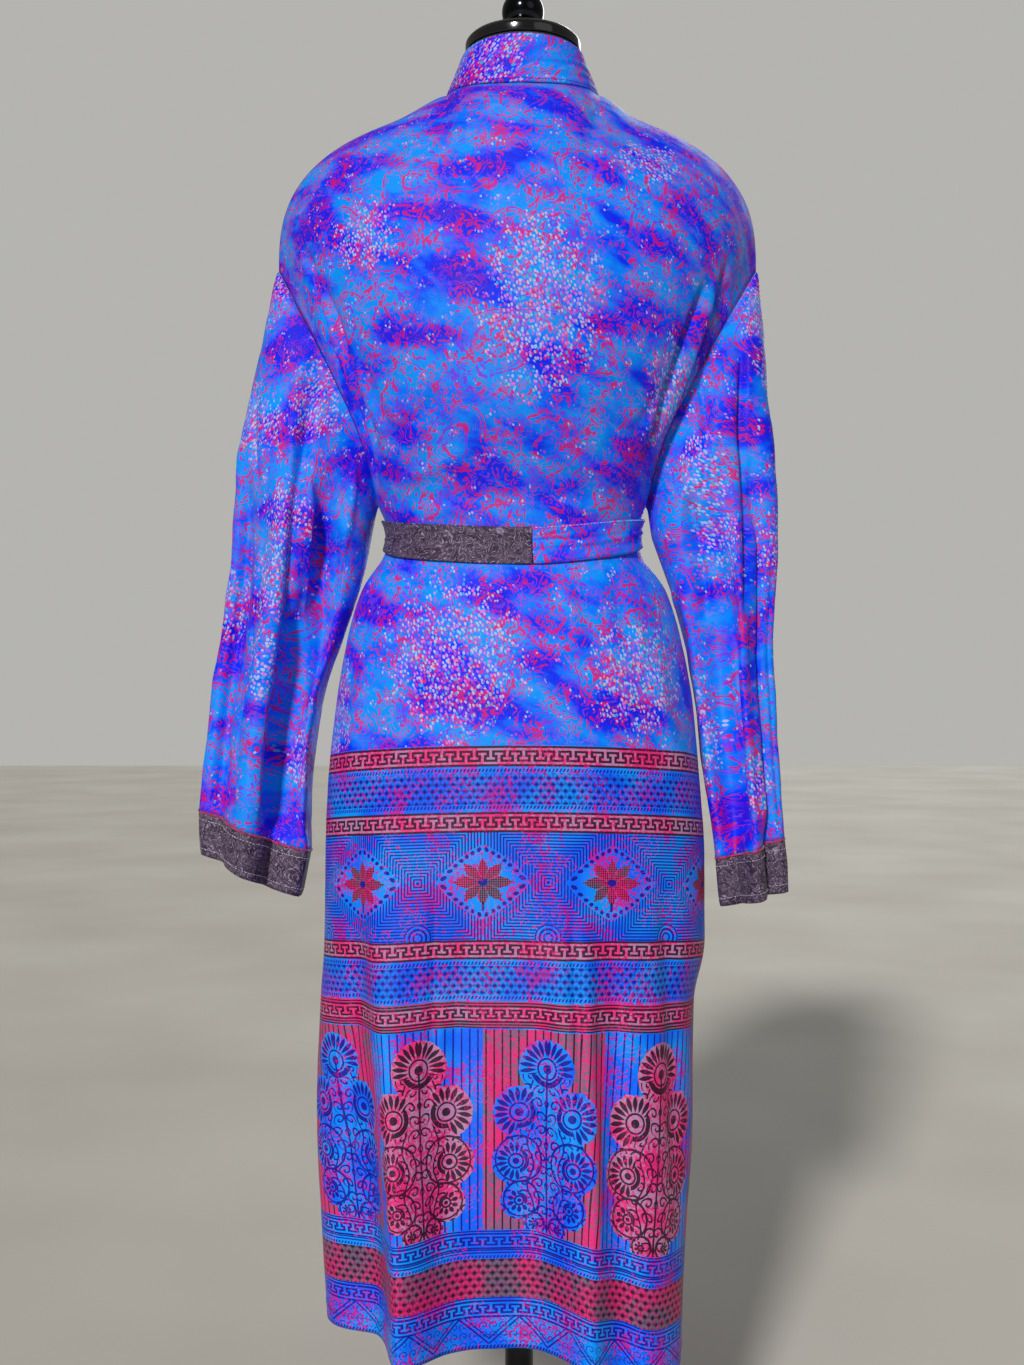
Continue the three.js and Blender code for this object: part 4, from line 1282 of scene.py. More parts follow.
    @staticmethod
    def _coils(t: MaterialTree, across: Value, up: Value, width: float) -> Value:
        """One curl in each square of a grid of 1 by 1."""
        x, y = across.fract() - 0.5, up.fract() - 0.5
        reach = (x * x + y * y) ** 0.5
        return ((t.math("ARCTAN2", y, x) / TURN + reach * 2.5).fract() < width) * (reach < 0.5)

    def _medallions(self, t: MaterialTree, u: Value, v: Value) -> tuple[Value, Value]:
        """Rings of dots round a leaf, on lines that turn in nested squares.

        Args:
            t: the material's tree.
            u: across the cloth.
            v: up the cloth.

        Returns:
            The mask of the lines, and that of the leaves.
        """
        share = ((u - self.first_tree) / self.pitch - 0.5).fract()
        x = ((share + 0.5).fract() - 0.5) * self.pitch
        y = v - 436
        between = (share - 0.5) * self.pitch
        squares = (abs(between).most(abs(y)) / 2.9).fract() < 0.45
        reach = ((abs(x) / 41) ** 1.25 + (abs(y) / 33) ** 1.25) ** (1 / 1.25)
        turn = t.math("ARCTAN2", y, x)
        count = 28
        along = ((turn * (count / TURN)).fract() - 0.5) * (TURN * 31 / count)
        ring = (reach - 0.95) * 31
        dots = (along * along + ring * ring) < 4.4
        inside = reach < 1.06
        far = (x * x * 0.62 + y * y) ** 0.5
        lobes = abs((turn * (8 / TURN)).fract() - 0.5) * 2
        teeth = abs((turn * (40 / TURN)).fract() - 0.5) * 2.4
        leaf = far < (lobes ** 1.1 * 9.5 + teeth + 12)
        grid = ((x / 2.1).fract() < 0.34).most((y / 2.1).fract() < 0.26)
        veins = lobes < 0.12
        stem = (abs(x) < 1.3) * y.within(-27, -18)
        heart = far < 3.4
        inner = (leaf * (1 - veins) * grid).most(stem).most(dots)
        arch = t.math("SQRT", between * between + (v - 385) * (v - 385))
        arches = arch.near(8, 1).most(arch.near(4, 0.8)).most(arch.near(12, 0.7))
        lines = (squares * (1 - inside) * (arch > 13)).most(inside * inner).most(dots).most(arches)
        return lines.most(heart), leaf * inside * (1 - heart)

    def _trees(self, t: MaterialTree, u: Value, v: Value) -> tuple[Value, Value, Value]:
        """Flowering trees before upright stripes.

        Args:
            t: the material's tree.
            u: across the cloth.
            v: up the cloth.

        Returns:
            The mask of the lines, that of the trees' shapes, and 1 behind every second tree.
        """
        place = (u - self.first_tree) / self.pitch + 0.5
        odd = 1 - (place.floor() % 2)
        x = abs(place.fract() - 0.5) * self.pitch
        shape = (x / 37) ** 2 + ((v - 180) / 74) ** 2 < 1
        lines = (x < 1.1) * v.within(104, 262)
        hollow = v < -1
        for f in FLOWERS:
            dx, dy = x - f.x, v - f.y
            far = (dx * dx + dy * dy) ** 0.5
            turn = t.math("ARCTAN2", dy, dx)
            body = ((far / f.reach - 0.72) / 0.3) ** 2
            petals = abs((turn * (f.petals / TURN)).fract() - 0.5) < (0.38 - body * 0.36)
            ahead = (dx * f.face_x + dy * f.face_y) > (-0.25 * f.reach)
            heart = far.near(f.reach * 0.37, 0.9).most(far < f.reach * 0.17)
            cup = far.within(f.reach * 0.46, f.reach * 0.66) * (1 - ahead)
            lines = lines.most(petals * ahead).most(heart).most(cup)
            if f.scroll:
                round_it = far + (dx * 0.12 - dy * 0.1)
                lines = lines.most(round_it.near(f.scroll, 0.9))
            shape = shape.most(far < (max(f.reach, f.scroll) + 1.4))
            hollow = hollow.most((far < (f.reach + 1)) * ahead).most(far < f.reach * 0.7)
        lobes = (x < (t.math("SINE", v / 7.2) * 2.6 + 38)) * v.within(150, 246)
        shape = shape.most(lobes)
        bent = x + t.math("SINE", v / 6.5) * 3
        scroll = self._coils(t, bent / 13.5, v / 12.5, 0.34).most(bent.near(17, 0.8)) * (1 - hollow)
        stripes = ((u / 7.6).fract() < 0.2) * (1 - shape)
        return (lines.most(scroll) * shape).most(stripes), shape, odd


@dataclass(frozen=True)
class PlainSilk:
    """Grey-brown silk with fine pale line work, for the cuffs and one stretch of the sash."""

    ground: Colour = ink(72, 56, 76)
    dark: Colour = ink(46, 32, 54)
    line: Colour = ink(158, 138, 172)
    roughness: float = 0.55
    sheen: float = 0.06

    def material(self, name: str) -> Material:
        """Makes the material.

        Args:
            name: its name.

        Returns:
            The material.
        """
        t = MaterialTree(name, Sheen_Weight=self.sheen, Sheen_Roughness=0.4, Specular_IOR_Level=0.3)
        u, v = t.cloth()
        place = t.vector(u, v)
        warped = t.shifted(place, t.noise(place, 12, 1, colour=True), 22)
        lines = abs((t.noise(warped, 13, 1) * 11).fract() - 0.5) < 0.15
        rings = abs((t.cells(warped, 11) * 4).fract() - 0.5) < 0.14
        turn = t.noise(place, 30) > 0.5
        ground = t.mix(t.noise(place, 9, 2).ramp(0.35, 0.65), self.dark, self.ground)
        drawn = (lines * (1 - turn) + rings * turn) * (t.noise(place, 3, 1).ramp(0.3, 0.6))
        t.bump(t.noise(t.vector(u, v * 3), 1.2) * 0.5 + t.noise(place, 18, 1), 0.0012, 0.6)
        return t.finish(
            Base_Color=t.mix(drawn * 0.85, ground, self.line),
            Roughness=t.noise(place, 20) * 0.2 + (self.roughness - 0.1),
        )


@dataclass(frozen=True)
class ThreadFinish:
    """Sewing thread, a little uneven in tone."""

    colour: Colour
    worn: Colour

    def material(self, name: str) -> Material:
        """Makes the material, given its name."""
        t = MaterialTree(name, Sheen_Weight=0.3, Specular_IOR_Level=0.4)
        place = t.space()
        tone = t.noise(place, 0.004, 2, flat=False)
        t.bump(t.noise(place, 0.0005, 0, flat=False), 0.0003)
        shade = t.mix(tone.ramp(0.35, 0.65), self.worn, self.colour)
        return t.finish(Base_Color=shade, Roughness=tone * 0.3 + 0.45)


@dataclass(frozen=True)
class FormCover:
    """The form's stretched black jersey, finely ribbed."""

    colour: Colour = ink(20, 20, 24)
    pale: Colour = ink(44, 44, 52)

    def material(self, name: str) -> Material:
        """Makes the material, given its name."""
        t = MaterialTree(name, Sheen_Weight=0.4, Specular_IOR_Level=0.3)
        place = t.space()
        tone = t.noise(place, 0.02, 3, flat=False)
        fine = t.noise(place, 0.0012, 1, flat=False)
        t.bump(fine, 0.0006)
        shade = t.mix(tone.ramp(0.3, 0.7), self.colour, self.pale)
        return t.finish(Base_Color=shade, Roughness=fine * 0.2 + 0.6)


@dataclass(frozen=True)
class Gloss:
    """A smooth black or metal finish with faint smears and dust."""

    colour: Colour
    smear: Colour
    metal: float
    roughness: float
    coat: float

    def material(self, name: str) -> Material:
        """Makes the material, given its name."""
        t = MaterialTree(
            name, Metallic=self.metal, Coat_Weight=self.coat, Coat_Roughness=0.08, Specular_IOR_Level=0.5
        )
        place = t.space()
        tone = t.noise(place, 0.035, 3, flat=False)
        dust = t.noise(place, 0.0016, 1, flat=False)
        t.bump(t.noise(place, 0.03, 1, flat=False), 0.0006, 0.3)
        rough = tone * 0.16 + dust * 0.06 + (self.roughness - 0.11)
        return t.finish(Base_Color=t.mix(tone.ramp(0.4, 0.7), self.colour, self.smear), Roughness=rough)


@dataclass(frozen=True)
class FloorFinish:
    """The studio's pale floor, with a hint of unevenness."""

    colour: Colour = ink(206, 203, 194)
    shade: Colour = ink(194, 190, 181)

    def material(self, name: str) -> Material:
        """Makes the material, given its name."""
        t = MaterialTree(name, Specular_IOR_Level=0.2)
        tone = t.noise(t.space(), 0.7, 2, flat=False)
        shade = t.mix(tone.ramp(0.3, 0.7), self.colour, self.shade)
        return t.finish(Base_Color=shade, Roughness=tone * 0.1 + 0.7)


# ---- geometry nodes -----------------------------------------------------------------------------
@dataclass
class Stitcher:
    """Rows of stitches along a path, made by one tree of geometry nodes.

    Attributes:
        tree: the tree, once it is made.
    """

    sides: int = 6
    seed: int = 7
    tree: Optional[bpy.types.NodeTree] = None
    sockets: dict[str, str] = field(default_factory=dict)

    def build(self) -> None:
        """Makes the tree with its named inputs."""
        tree = bpy.data.node_groups.new("stitch_row", "GeometryNodeTree")
        face = tree.interface
        face.new_socket(name="Path", in_out="INPUT", socket_type="NodeSocketGeometry")
        kinds = {"Pitch": "Float", "Length": "Float", "Radius": "Float", "Thread": "Material"}
        for name, kind in kinds.items():
            made = face.new_socket(name=name, in_out="INPUT", socket_type="NodeSocket" + kind)
            self.sockets[name] = made.identifier
        face.new_socket(name="Stitches", in_out="OUTPUT", socket_type="NodeSocketGeometry")
        nodes, links = tree.nodes, tree.links
        given = nodes.new("NodeGroupInput")
        curve = nodes.new("GeometryNodeMeshToCurve")
        spaced = nodes.new("GeometryNodeResampleCurve")
        spaced.mode = "LENGTH"
        thread = nodes.new("GeometryNodeMeshCylinder")
        thread.inputs["Vertices"].default_value = self.sides
        way = nodes.new("GeometryNodeInputTangent")
        turn = nodes.new("FunctionNodeAlignRotationToVector")
        turn.axis = "Z"
        vary = nodes.new("FunctionNodeRandomValue")
        vary.data_type = "FLOAT"
        vary.inputs["Seed"].default_value = self.seed
        low, high = (s for s in vary.inputs if s.name in ("Min", "Max") and s.type == "VALUE" and s.enabled)
        low.default_value, high.default_value = 0.82, 1.12
        sewn = nodes.new("GeometryNodeInstanceOnPoints")
        real = nodes.new("GeometryNodeRealizeInstances")
        finish = nodes.new("GeometryNodeSetMaterial")
        out = nodes.new("NodeGroupOutput")
        random = next(s for s in vary.outputs if s.enabled and s.type == "VALUE")
        for source, target in (
            (given.outputs["Path"], curve.inputs["Mesh"]),
            (curve.outputs["Curve"], spaced.inputs["Curve"]),
            (given.outputs["Pitch"], spaced.inputs["Length"]),
            (given.outputs["Radius"], thread.inputs["Radius"]),
            (given.outputs["Length"], thread.inputs["Depth"]),
            (way.outputs["Tangent"], turn.inputs["Vector"]),
            (spaced.outputs["Curve"], sewn.inputs["Points"]),
            (thread.outputs["Mesh"], sewn.inputs["Instance"]),
            (turn.outputs["Rotation"], sewn.inputs["Rotation"]),
            (random, sewn.inputs["Scale"]),
            (sewn.outputs["Instances"], real.inputs["Geometry"]),
            (real.outputs["Geometry"], finish.inputs["Geometry"]),
            (given.outputs["Thread"], finish.inputs["Material"]),
            (finish.outputs["Geometry"], out.inputs["Stitches"]),
        ):
            links.new(source, target)
        self.tree = tree

    def sew(
        self, name: str, path: Array, thread: Material, pitch: float, length: float, radius: float
    ) -> Piece:
        """Sews a row of stitches.

        Args:
            name: the row's name.
            path: places along the seam, in millimetres.
            thread: the thread's material.
            pitch: from stitch to stitch, in millimetres.
            length: of a stitch, in millimetres.
            radius: of the thread, in millimetres.

        Returns:
            The stitches as a plain mesh.
        """
        if self.tree is None:
            self.build()
        line = bpy.data.meshes.new(name + "_path")
        line.from_pydata(path * MM, [(k, k + 1) for k in range(len(path) - 1)], [])
        holder = placed(name + "_path", line)
        nodes = holder.modifiers.new("stitches", "NODES")
        nodes.node_group = self.tree
        given = {"Pitch": pitch * MM, "Length": length * MM, "Radius": radius * MM, "Thread": thread}
        for key, value in given.items():
            nodes[self.sockets[key]] = value
        graph = bpy.context.evaluated_depsgraph_get()
        mesh = bpy.data.meshes.new_from_object(holder.evaluated_get(graph))
        holder.modifiers.remove(nodes)
        bpy.data.objects.remove(holder)
        return placed(name, mesh)


def piping(name: str, path: Array, radius: float, sides: int = 8) -> Piece:
    """A closed cord of cloth round a ring of places.

    Args:
        name: the piece's name.
        path: places round the ring, in millimetres, without the first again at the end.
        radius: half the cord's width.
        sides: points round the cord.

    Returns:
        The new object.
    """
    way = unit(np.roll(path, -1, axis=0) - np.roll(path, 1, axis=0))
    side = unit(np.cross(way, np.array((0.0, 0.0, 1.0))))
    up = np.cross(side, way)
    angle = np.arange(sides) / sides * TURN
    c, s = np.cos(angle)[:, None], np.sin(angle)[:, None]
    ring = path[:, None] + radius * (side[:, None] * c + up[:, None] * s)
    count = len(path)
    faces = [
        [i * sides + k, j * sides + k, j * sides + (k + 1) % sides, i * sides + (k + 1) % sides]
        for i, j in ((i, (i + 1) % count) for i in range(count))
        for k in range(sides)
    ]
    mesh = bpy.data.meshes.new(name)
    mesh.from_pydata(ring.reshape(-1, 3) * MM, [], faces)
    mesh.polygons.foreach_set("use_smooth", np.ones(len(faces), bool))
    made = placed(name, mesh)
    outward(made)
    return made


def outward(piece: Piece) -> None:
    """Turns a closed mesh's faces outward, by the sign of its volume."""
    mesh = bmesh.new()
    mesh.from_mesh(piece.data)
    if mesh.calc_volume(signed=True) < 0:
        bmesh.ops.reverse_faces(mesh, faces=mesh.faces)
        mesh.to_mesh(piece.data)
    mesh.free()


# ---- the robe's surfaces ------------------------------------------------------------------------
@dataclass(frozen=True)
class RobeShape:
    """The surfaces that the robe's pieces lie on."""

    hem_z: float = 240
    hem_drop: float = 26
    underarm_z: float = 1035
    shoulder_left: float = 241
    shoulder_right: float = 238
    shoulder_y: float = -6
    shoulder_z: float = 1272
    neck_at: float = 0.8
    neck_shift: float = -4
    neck_foot: float = 1425
    neck_sweep: float = 30
    rise: float = 166
    roundness: float = 0.72
    yoke_back: float = 48
    band_share: float = 0.84
    under_layer: float = 6
    collar_back: float = 57.8
    collar_z: float = 1485
    band_lift: float = 0.7
    seam_gap: float = 0.3

    def fold_height(self, folds: Sequence[Fold], x: Array, z: Array) -> Array:
        """How far the skirt's folds stand out at a place."""
        height = np.zeros(np.broadcast(x, z).shape)
        for fold in folds:
            grown = smooth((fold.start - z) / (fold.start - self.hem_z))
            away = x - lerp(fold.x_top, fold.x_hem, grown)
            flank = np.where(away > 0, fold.left_flank, fold.right_flank)
            height = height + fold.out * grown * np.exp(-((away / flank) ** 2))
        return height

    def widths(self, x: Array, level: Array) -> Array:
        """The half width on the side of x."""
        left, right = (read(LEVELS, side, "z", level) for side in ("left", "right"))
        return np.where(x > 0, left, right)

    def body(self, angle: Array, level: Array, inset: Amount = 0) -> Array:
        """Places on the body below the underarm.

        Args:
            angle: from the wearer's left side (0) over the back (half a turn) and on round the front.
            level: the height, before the sides hang.
            inset: how far inside the surface.

        Returns:
            The places.
        """
        angle, level, inset = np.broadcast_arrays(angle, level, inset)
        c, s = np.cos(angle), np.sin(angle)
        x = c * (self.widths(c, level) - inset)
        square = read(LEVELS, "square", "z", level)
        depth = np.maximum(0, 1 - np.abs(c) ** square) ** (1 / square)
        clear = smooth(np.abs(s) / 0.35)
        low = 1 - smooth((level - self.hem_z) / 400)
        drop = self.hem_drop * smooth((-x - 40) / 100) * low
        sag = read(LEVELS, "sag", "z", level) * (1 - np.abs(s)) * smooth((level - self.hem_z) / 60)
        back, front = (read(LEVELS, c, "z", level) - inset for c in ("back", "front"))
        behind = depth * back + clear * self.fold_height(BACK_FOLDS, x, level)
        before = -depth * front - clear * self.fold_height(FRONT_FOLDS, x, level)
        return xyz(x, np.where(s > 0, behind, before), level - drop - sag)

    def armhole(self, side: Side, up: Array, behind: bool) -> Array:
        """Places on the armhole loop, from the underarm (0) to the shoulder (1)."""
        last = LEVELS[-1]
        underarm, shoulder = (
            (last.left, self.shoulder_left) if side is Side.LEFT else (last.right, self.shoulder_right)
        )
        x = side.value * lerp(underarm, shoulder, read(ARMHOLE, "out", "at", up))
        y = read(ARMHOLE, "back", "at", up) if behind else -read(ARMHOLE, "front", "at", up)
        return xyz(x, y, lerp(self.underarm_z, self.shoulder_z, read(ARMHOLE, "up", "at", up)))

    def leaned(self, p: Array) -> Array:
        """Places with the neck's lean to one side."""
        p = p.copy()
        p[..., 0] += self.neck_shift * smooth((p[..., 2] - self.neck_foot) / 25)
        return p

    def yoke(self, side: Array, along: Array) -> Array:
        """The shoulder line without its neckline, from the shoulder (0) to the middle of the back (1)."""
        c, s = np.cos(along * math.pi / 2), np.sin(along * math.pi / 2)
        reach = np.where(side > 0, self.shoulder_left, self.shoulder_right)
        z = self.shoulder_z + self.rise * s**self.roundness
        return xyz(side * reach * c, self.shoulder_y * (1 - s), z)

    def shoulder(self, side: Array, along: Array) -> Array:
        """The shoulder seam and back neck, from the shoulder point (0) to the middle of the back (1)."""
        side, along = np.broadcast_arrays(np.asarray(side, float), np.asarray(along, float))
        foot = NECKLINE[0]
        off = xyz(side * foot.x, foot.y, foot.z) - self.yoke(side, np.full_like(along, self.neck_at))
        sweep = smooth(along / self.neck_at) ** self.neck_sweep
        seam = self.yoke(side, along) + off * sweep[..., None]
        x, y, z = (read(NECKLINE, c, "at", along) for c in ("x", "y", "z"))
        neck = xyz(side * x, y, z)
        return self.leaned(np.where((along <= self.neck_at)[..., None], seam, neck))

    @staticmethod
    def patch(low: Callable, high: Callable, start: Callable, end: Callable, u: Array, v: Array) -> Array:
        """The surface that fills four boundary curves: low and high run across, start and end run up."""
        a, b = u[..., None], v[..., None]
        ends = np.array((0.0, 1.0))
        (l0, l1), (h0, h1) = low(ends), high(ends)
        across = lerp(low(u), high(u), b)
        upward = lerp(start(v), end(v), a)
        return across + upward - lerp(lerp(l0, l1, a), lerp(h0, h1, a), b)

    def upper_back(self, u: Array, v: Array) -> Array:
        """The back above the underarm, from the left edge (u 0) to the right, and upward in v."""

        def plain(a: Array) -> Array:
            """The shoulder line as one curve from left to right, swelled to the back."""
            p = self.yoke(np.where(a < 0.5, 1.0, -1.0), 1 - np.abs(2 * a - 1))
            p[..., 1] += self.yoke_back * np.sin(a * math.pi)
            return p

        p = self.patch(
            lambda a: self.body(a * math.pi, self.underarm_z),
            plain,
            lambda b: self.armhole(Side.LEFT, b, True),
            lambda b: self.armhole(Side.RIGHT, b, True),
            u,
            v,
        )
        p[..., 1] += read(SWELLS, "back", "at", v) * np.sin(math.pi * u)
        seam = self.shoulder(np.where(u < 0.5, 1.0, -1.0), 1 - np.abs(2 * u - 1))
        return p + (seam - plain(u)) * (v**6)[..., None]

    def lower_front(self, side: Side, u: Array, level: Array) -> Array:
        """A front below the underarm, from the side (u 0) over the band's seam to the free edge (1)."""
        u, level = np.broadcast_arrays(np.asarray(u, float), np.asarray(level, float))
        inset = 0 if side is Side.LEFT else self.under_layer * smooth((u - 0.3) / 0.2)
        seam, edge = (side.value * read(LAPS, c, "z", level) for c in ("seam", "edge"))

        def turn(x: Array) -> Array:
            """The turn at which the body has this X."""
            return np.arccos(x / self.widths(x, level))

        start = 0 if side is Side.LEFT else math.pi
        share = self.band_share
        angle = np.where(
            u < share,
            lerp(start, turn(seam), u / share),
            lerp(turn(seam), turn(edge), (u - share) / (1 - share)),
        )
        return self.body(-angle, level, inset)

    def neck_edge(self, side: Side, up: Array) -> Array:
        """The neckband's free edge, from the underarm's level (0) up to the side of the neck (1)."""
        x, y, z = (read(NECK_EDGE, c, "at", up) for c in ("x", "y", "z"))
        inset = 0 if side is Side.LEFT else self.under_layer * (1 - smooth((up - 0.42) / 0.3))
        return self.leaned(xyz(side.value * x, y + inset, z))

    def upper_front(self, side: Side, u: Array, v: Array) -> Array:
        """A front above the underarm."""
        share = self.band_share
        neck = self.shoulder(side.value, self.neck_at)
        tip = self.neck_edge(side, np.array(1.0))

        def high(a: Array) -> Array:
            """The shoulder seam, and beyond it the neckband's end."""
            seam = self.shoulder(side.value, self.neck_at * np.minimum(a, share) / share)
            band = lerp(neck, tip, ((a - share) / (1 - share))[..., None])
            return np.where((a < share)[..., None], seam, band)

        p = self.patch(
            lambda a: self.lower_front(side, a, self.underarm_z),
            high,
            lambda b: self.armhole(side, b, False),
            lambda b: self.neck_edge(side, b),
            u,
            v,
        )
        p[..., 1] -= read(SWELLS, "front", "at", v) * np.sin(math.pi * np.minimum(1, u * 1.1)) ** 2
        return p


@dataclass
class SewingRoom:
    """What the sub-assemblies share: the shape, the finishes' materials and the stitcher."""

    shape: RobeShape
    border: Material
    mottle: Material
    plain: Material
    blue_thread: Material
    pale_thread: Material
    pink_cord: Material
    stitcher: Stitcher

    def row(
        self,
        name: str,
        path: Array,
        thread: Material,
        pitch: float = 3.2,
        length: float = 2.1,
        radius: float = 0.28,
    ) -> None:
        """Sews a row and lets it ride with the robe.

        Args:
            name: the row's name.
            path: places along the seam, in millimetres.
            thread: the thread's material.
            pitch: from stitch to stitch.
            length: of a stitch.
            radius: of the thread.
        """
        made = self.stitcher.sew(name, path, thread, pitch, length, radius)
        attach(made, BODY)


# ---- the robe -----------------------------------------------------------------------------------
@dataclass
class RobeBody:
    """The back, the two fronts and the neckband, sewn edge to edge."""

    room: SewingRoom
    cloth: float = 1.0
    band: float = 2.2
    lower_rows: int = 178
    upper_rows: int = 104
    back_columns: int = 160
    front_columns: int = 84
    band_columns: int = 10
    collar_columns: int = 96
    collar_rows: int = 26
    hem_row: int = 3
    side_cloth: float = 262

    def build(self) -> None:
        """Makes the pieces in the order in which they are sewn."""
        self._back()
        for side in Side:
            self._front(side)
            self._front_band(side)
        self._back_band()

    def _rows(self) -> tuple[Array, Array]:
        """Levels of the lower rows, and shares of the upper ones."""
        levels = np.linspace(self.room.shape.hem_z, self.room.shape.underarm_z, self.lower_rows + 1)
        return levels, np.linspace(0, 1, self.upper_rows + 1)[1:]

    def _grid(self, u: Array, lower: Callable, upper: Callable) -> tuple[Array, Array]:
        """Points of a piece from hem to shoulder, with the height of each on the flat cloth.

        Args:
            u: where the columns lie.
            lower: the surface below the underarm.
            upper: the surface above it.

        Returns:
            The points, and the heights.
        """
        levels, shares = self._rows()
        low = lower(u[None, :] + 0 * levels[:, None], levels[:, None] + 0 * u[None, :])
        high = upper(u[None, :] + 0 * shares[:, None], shares[:, None] + 0 * u[None, :])
        points = np.concatenate((low, high))
        rise = arc_lengths(points[len(levels) - 1 :], 0)[1:]
        foot = self.room.shape.hem_z
        height = np.concatenate((levels[:, None] - foot + 0 * u[None, :], rise + levels[-1] - foot))
        return points, height

    def _back(self) -> None:
        """The back panel, with its border, creases and speckles."""
        shape = self.room.shape
        u = np.linspace(0, 1, self.back_columns + 1)
        points, height = self._grid(u, lambda a, z: shape.body(a * math.pi, z), shape.upper_back)
        middle = self.back_columns // 2
        across = arc_lengths(points, 1)
        across = across[:, middle : middle + 1] - across
        speckle = clusters_at(points, CLUSTERS)
        grid = ClothGrid(points, np.stack((across, height), -1), self.cloth, speckle=speckle)
        edge = smooth(np.sin(u * math.pi) / 0.2)[None, :]
        top = smooth((1 - np.linspace(0, 1, len(points))) / 0.04)[:, None]
        waist = smooth(np.abs(points[..., 2] - 1000) / 34)
        relief = creased(points, BACK_CREASES) + crumple(points, 3, 150, 1.0) + crumple(points, 5, 46, 0.35)
        grid = grid.raised(relief * edge * top * waist)
        piece = grid.mesh("robe_back")
        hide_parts("back")
        self._two_prints(piece)
        dress(piece, "printed_silk", self.room.mottle, self.room.border)
        self._hem(grid, "back")

    def _front(self, side: Side) -> None:
        """One front, from its side seam to the neckband's seam."""
        shape = self.room.shape
        share = np.linspace(0, 1, self.front_columns + 1)
        u = (1 - share if side is Side.LEFT else share) * shape.band_share
        points, height = self._grid(u, partial(shape.lower_front, side), partial(shape.upper_front, side))
        across = arc_lengths(points, 1)
        if side is Side.LEFT:
            across = self.side_cloth + across[:, -1:] - across
        else:
            across = -self.side_cloth - across
        seed = 11 if side is Side.LEFT else 12
        speckle = scattered(points, seed, 7, 46)
        grid = ClothGrid(points, np.stack((across, height), -1), self.cloth, speckle=speckle)
        edge = smooth(np.sin(share * math.pi) / 0.25)[None, :]
        top = smooth((1 - np.linspace(0, 1, len(points))) / 0.05)[:, None]
        waist = smooth(np.abs(points[..., 2] - 1004) / 30)
        relief = creased(points, self._front_creases(side)) + crumple(points, seed, 150, 0.9)
        relief += crumple(points, seed + 4, 46, 0.3)
        grid = grid.raised(relief * edge * top * waist)
        piece = grid.mesh("robe_front_" + side.word)
        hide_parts("front_" + side.word)
        self._two_prints(piece)
        dress(piece, "printed_silk", self.room.mottle, self.room.border)
        self._hem(grid, "front_" + side.word)

    @staticmethod
    def _front_creases(side: Side) -> tuple[Crease, ...]:
        """Creases of one front."""
        return tuple(c._replace(x0=side.value * c.x0, x1=side.value * c.x1) for c in FRONT_CREASES)

    def _two_prints(self, piece: Piece) -> None:
        """Gives the faces below the border's top the border's material."""
        mesh = piece.data
        place = np.zeros(len(mesh.loops) * 2, np.float32)
        mesh.uv_layers["cloth"].data.foreach_get("uv", place)
        height = place.reshape(-1, 4, 2)[..., 1].mean(1)
        mesh.polygons.foreach_set("material_index", (height < BORDER_TOP * MM).astype(np.int32))

    def _hem(self, grid: ClothGrid, word: str) -> None:
        """A row of stitches just above the hem."""
        self.room.row("hem_stitches_" + word, grid.over()[self.hem_row, 2:-2], self.room.blue_thread)

    def _front_band(self, side: Side) -> None:
        """The neckband down one front's edge."""
        shape = self.room.shape
        share = np.linspace(0, 1, self.band_columns + 1)
        across = 1 - share if side is Side.LEFT else share
        u = lerp(shape.band_share, 1, across)
        points, height = self._grid(u, partial(shape.lower_front, side), partial(shape.upper_front, side))
        cloth = np.stack((arc_lengths(points, 1), height + BORDER_TOP), -1)
        grid = ClothGrid(points, cloth, self.band, speckle=scattered(points, 21 + side.value, 5, 24))
        puff = np.sin(share * math.pi)[None, :] ** 0.6 * 0.8 + crumple(points, 23 + side.value, 90, 0.4)
        grid = grid.raised(puff * smooth(np.sin(share * math.pi) / 0.3)[None, :])
        piece = grid.mesh("robe_neckband_" + side.word)
        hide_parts("neckband_" + side.word)
        dress(piece, "printed_silk", self.room.mottle)
        column = 1 if side is Side.RIGHT else self.band_columns - 1
        self.room.row("neckband_stitches_" + side.word, grid.over()[4:-4, column], self.room.blue_thread)

    def _back_band(self) -> None:
        """The neckband behind the neck, with the folds of its standing collar."""
        shape = self.room.shape
        u = np.linspace(0, 1, self.collar_columns + 1)
        t = np.linspace(0, 1, self.collar_rows + 1)
        along = 1 - np.abs(2 * u - 1)
        base = shape.shoulder(np.where(u < 0.5, 1.0, -1.0), lerp(shape.neck_at, 1, along))
        base[:, 2] += shape.band_lift
        tip = shape.neck_edge(Side.LEFT, np.array(1.0))
        angle = u * math.pi
        top = xyz(
            np.cos(angle) * (tip[0] - shape.neck_shift) + shape.neck_shift,
            np.sin(angle) * shape.collar_back,
            lerp(tip[2], shape.collar_z, np.sin(angle)),
        )
        points = lerp(base[None], top[None], t[:, None, None])
        speckle = np.repeat(smooth((0.56 - u) / 0.08)[None] * 0.85, len(t), 0)
        grid = ClothGrid(points, unrolled(points, up=BORDER_TOP + 40), self.band, speckle=speckle)
        rise, turn = t[:, None], u[None, :]
        relief = 0.9 * np.sin(rise * math.pi) ** 0.5
        for f in COLLAR_FOLDS:
            line = f.at + f.sway * np.sin(turn * 7 + f.at * 20)
            grown = smooth(np.sin(turn * math.pi) / 0.3)
            relief = relief + f.out * np.exp(-(((rise - line) / f.width) ** 2)) * grown
        relief = relief * smooth(np.sin(turn * math.pi) / 0.15)
        grid = grid.raised(relief)
        piece = grid.mesh("robe_neckband_back")
        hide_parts("neckband_back")
        dress(piece, "printed_silk", self.room.mottle)
        self.room.row("collar_stitches", grid.over()[2, 3:-3], self.room.blue_thread)


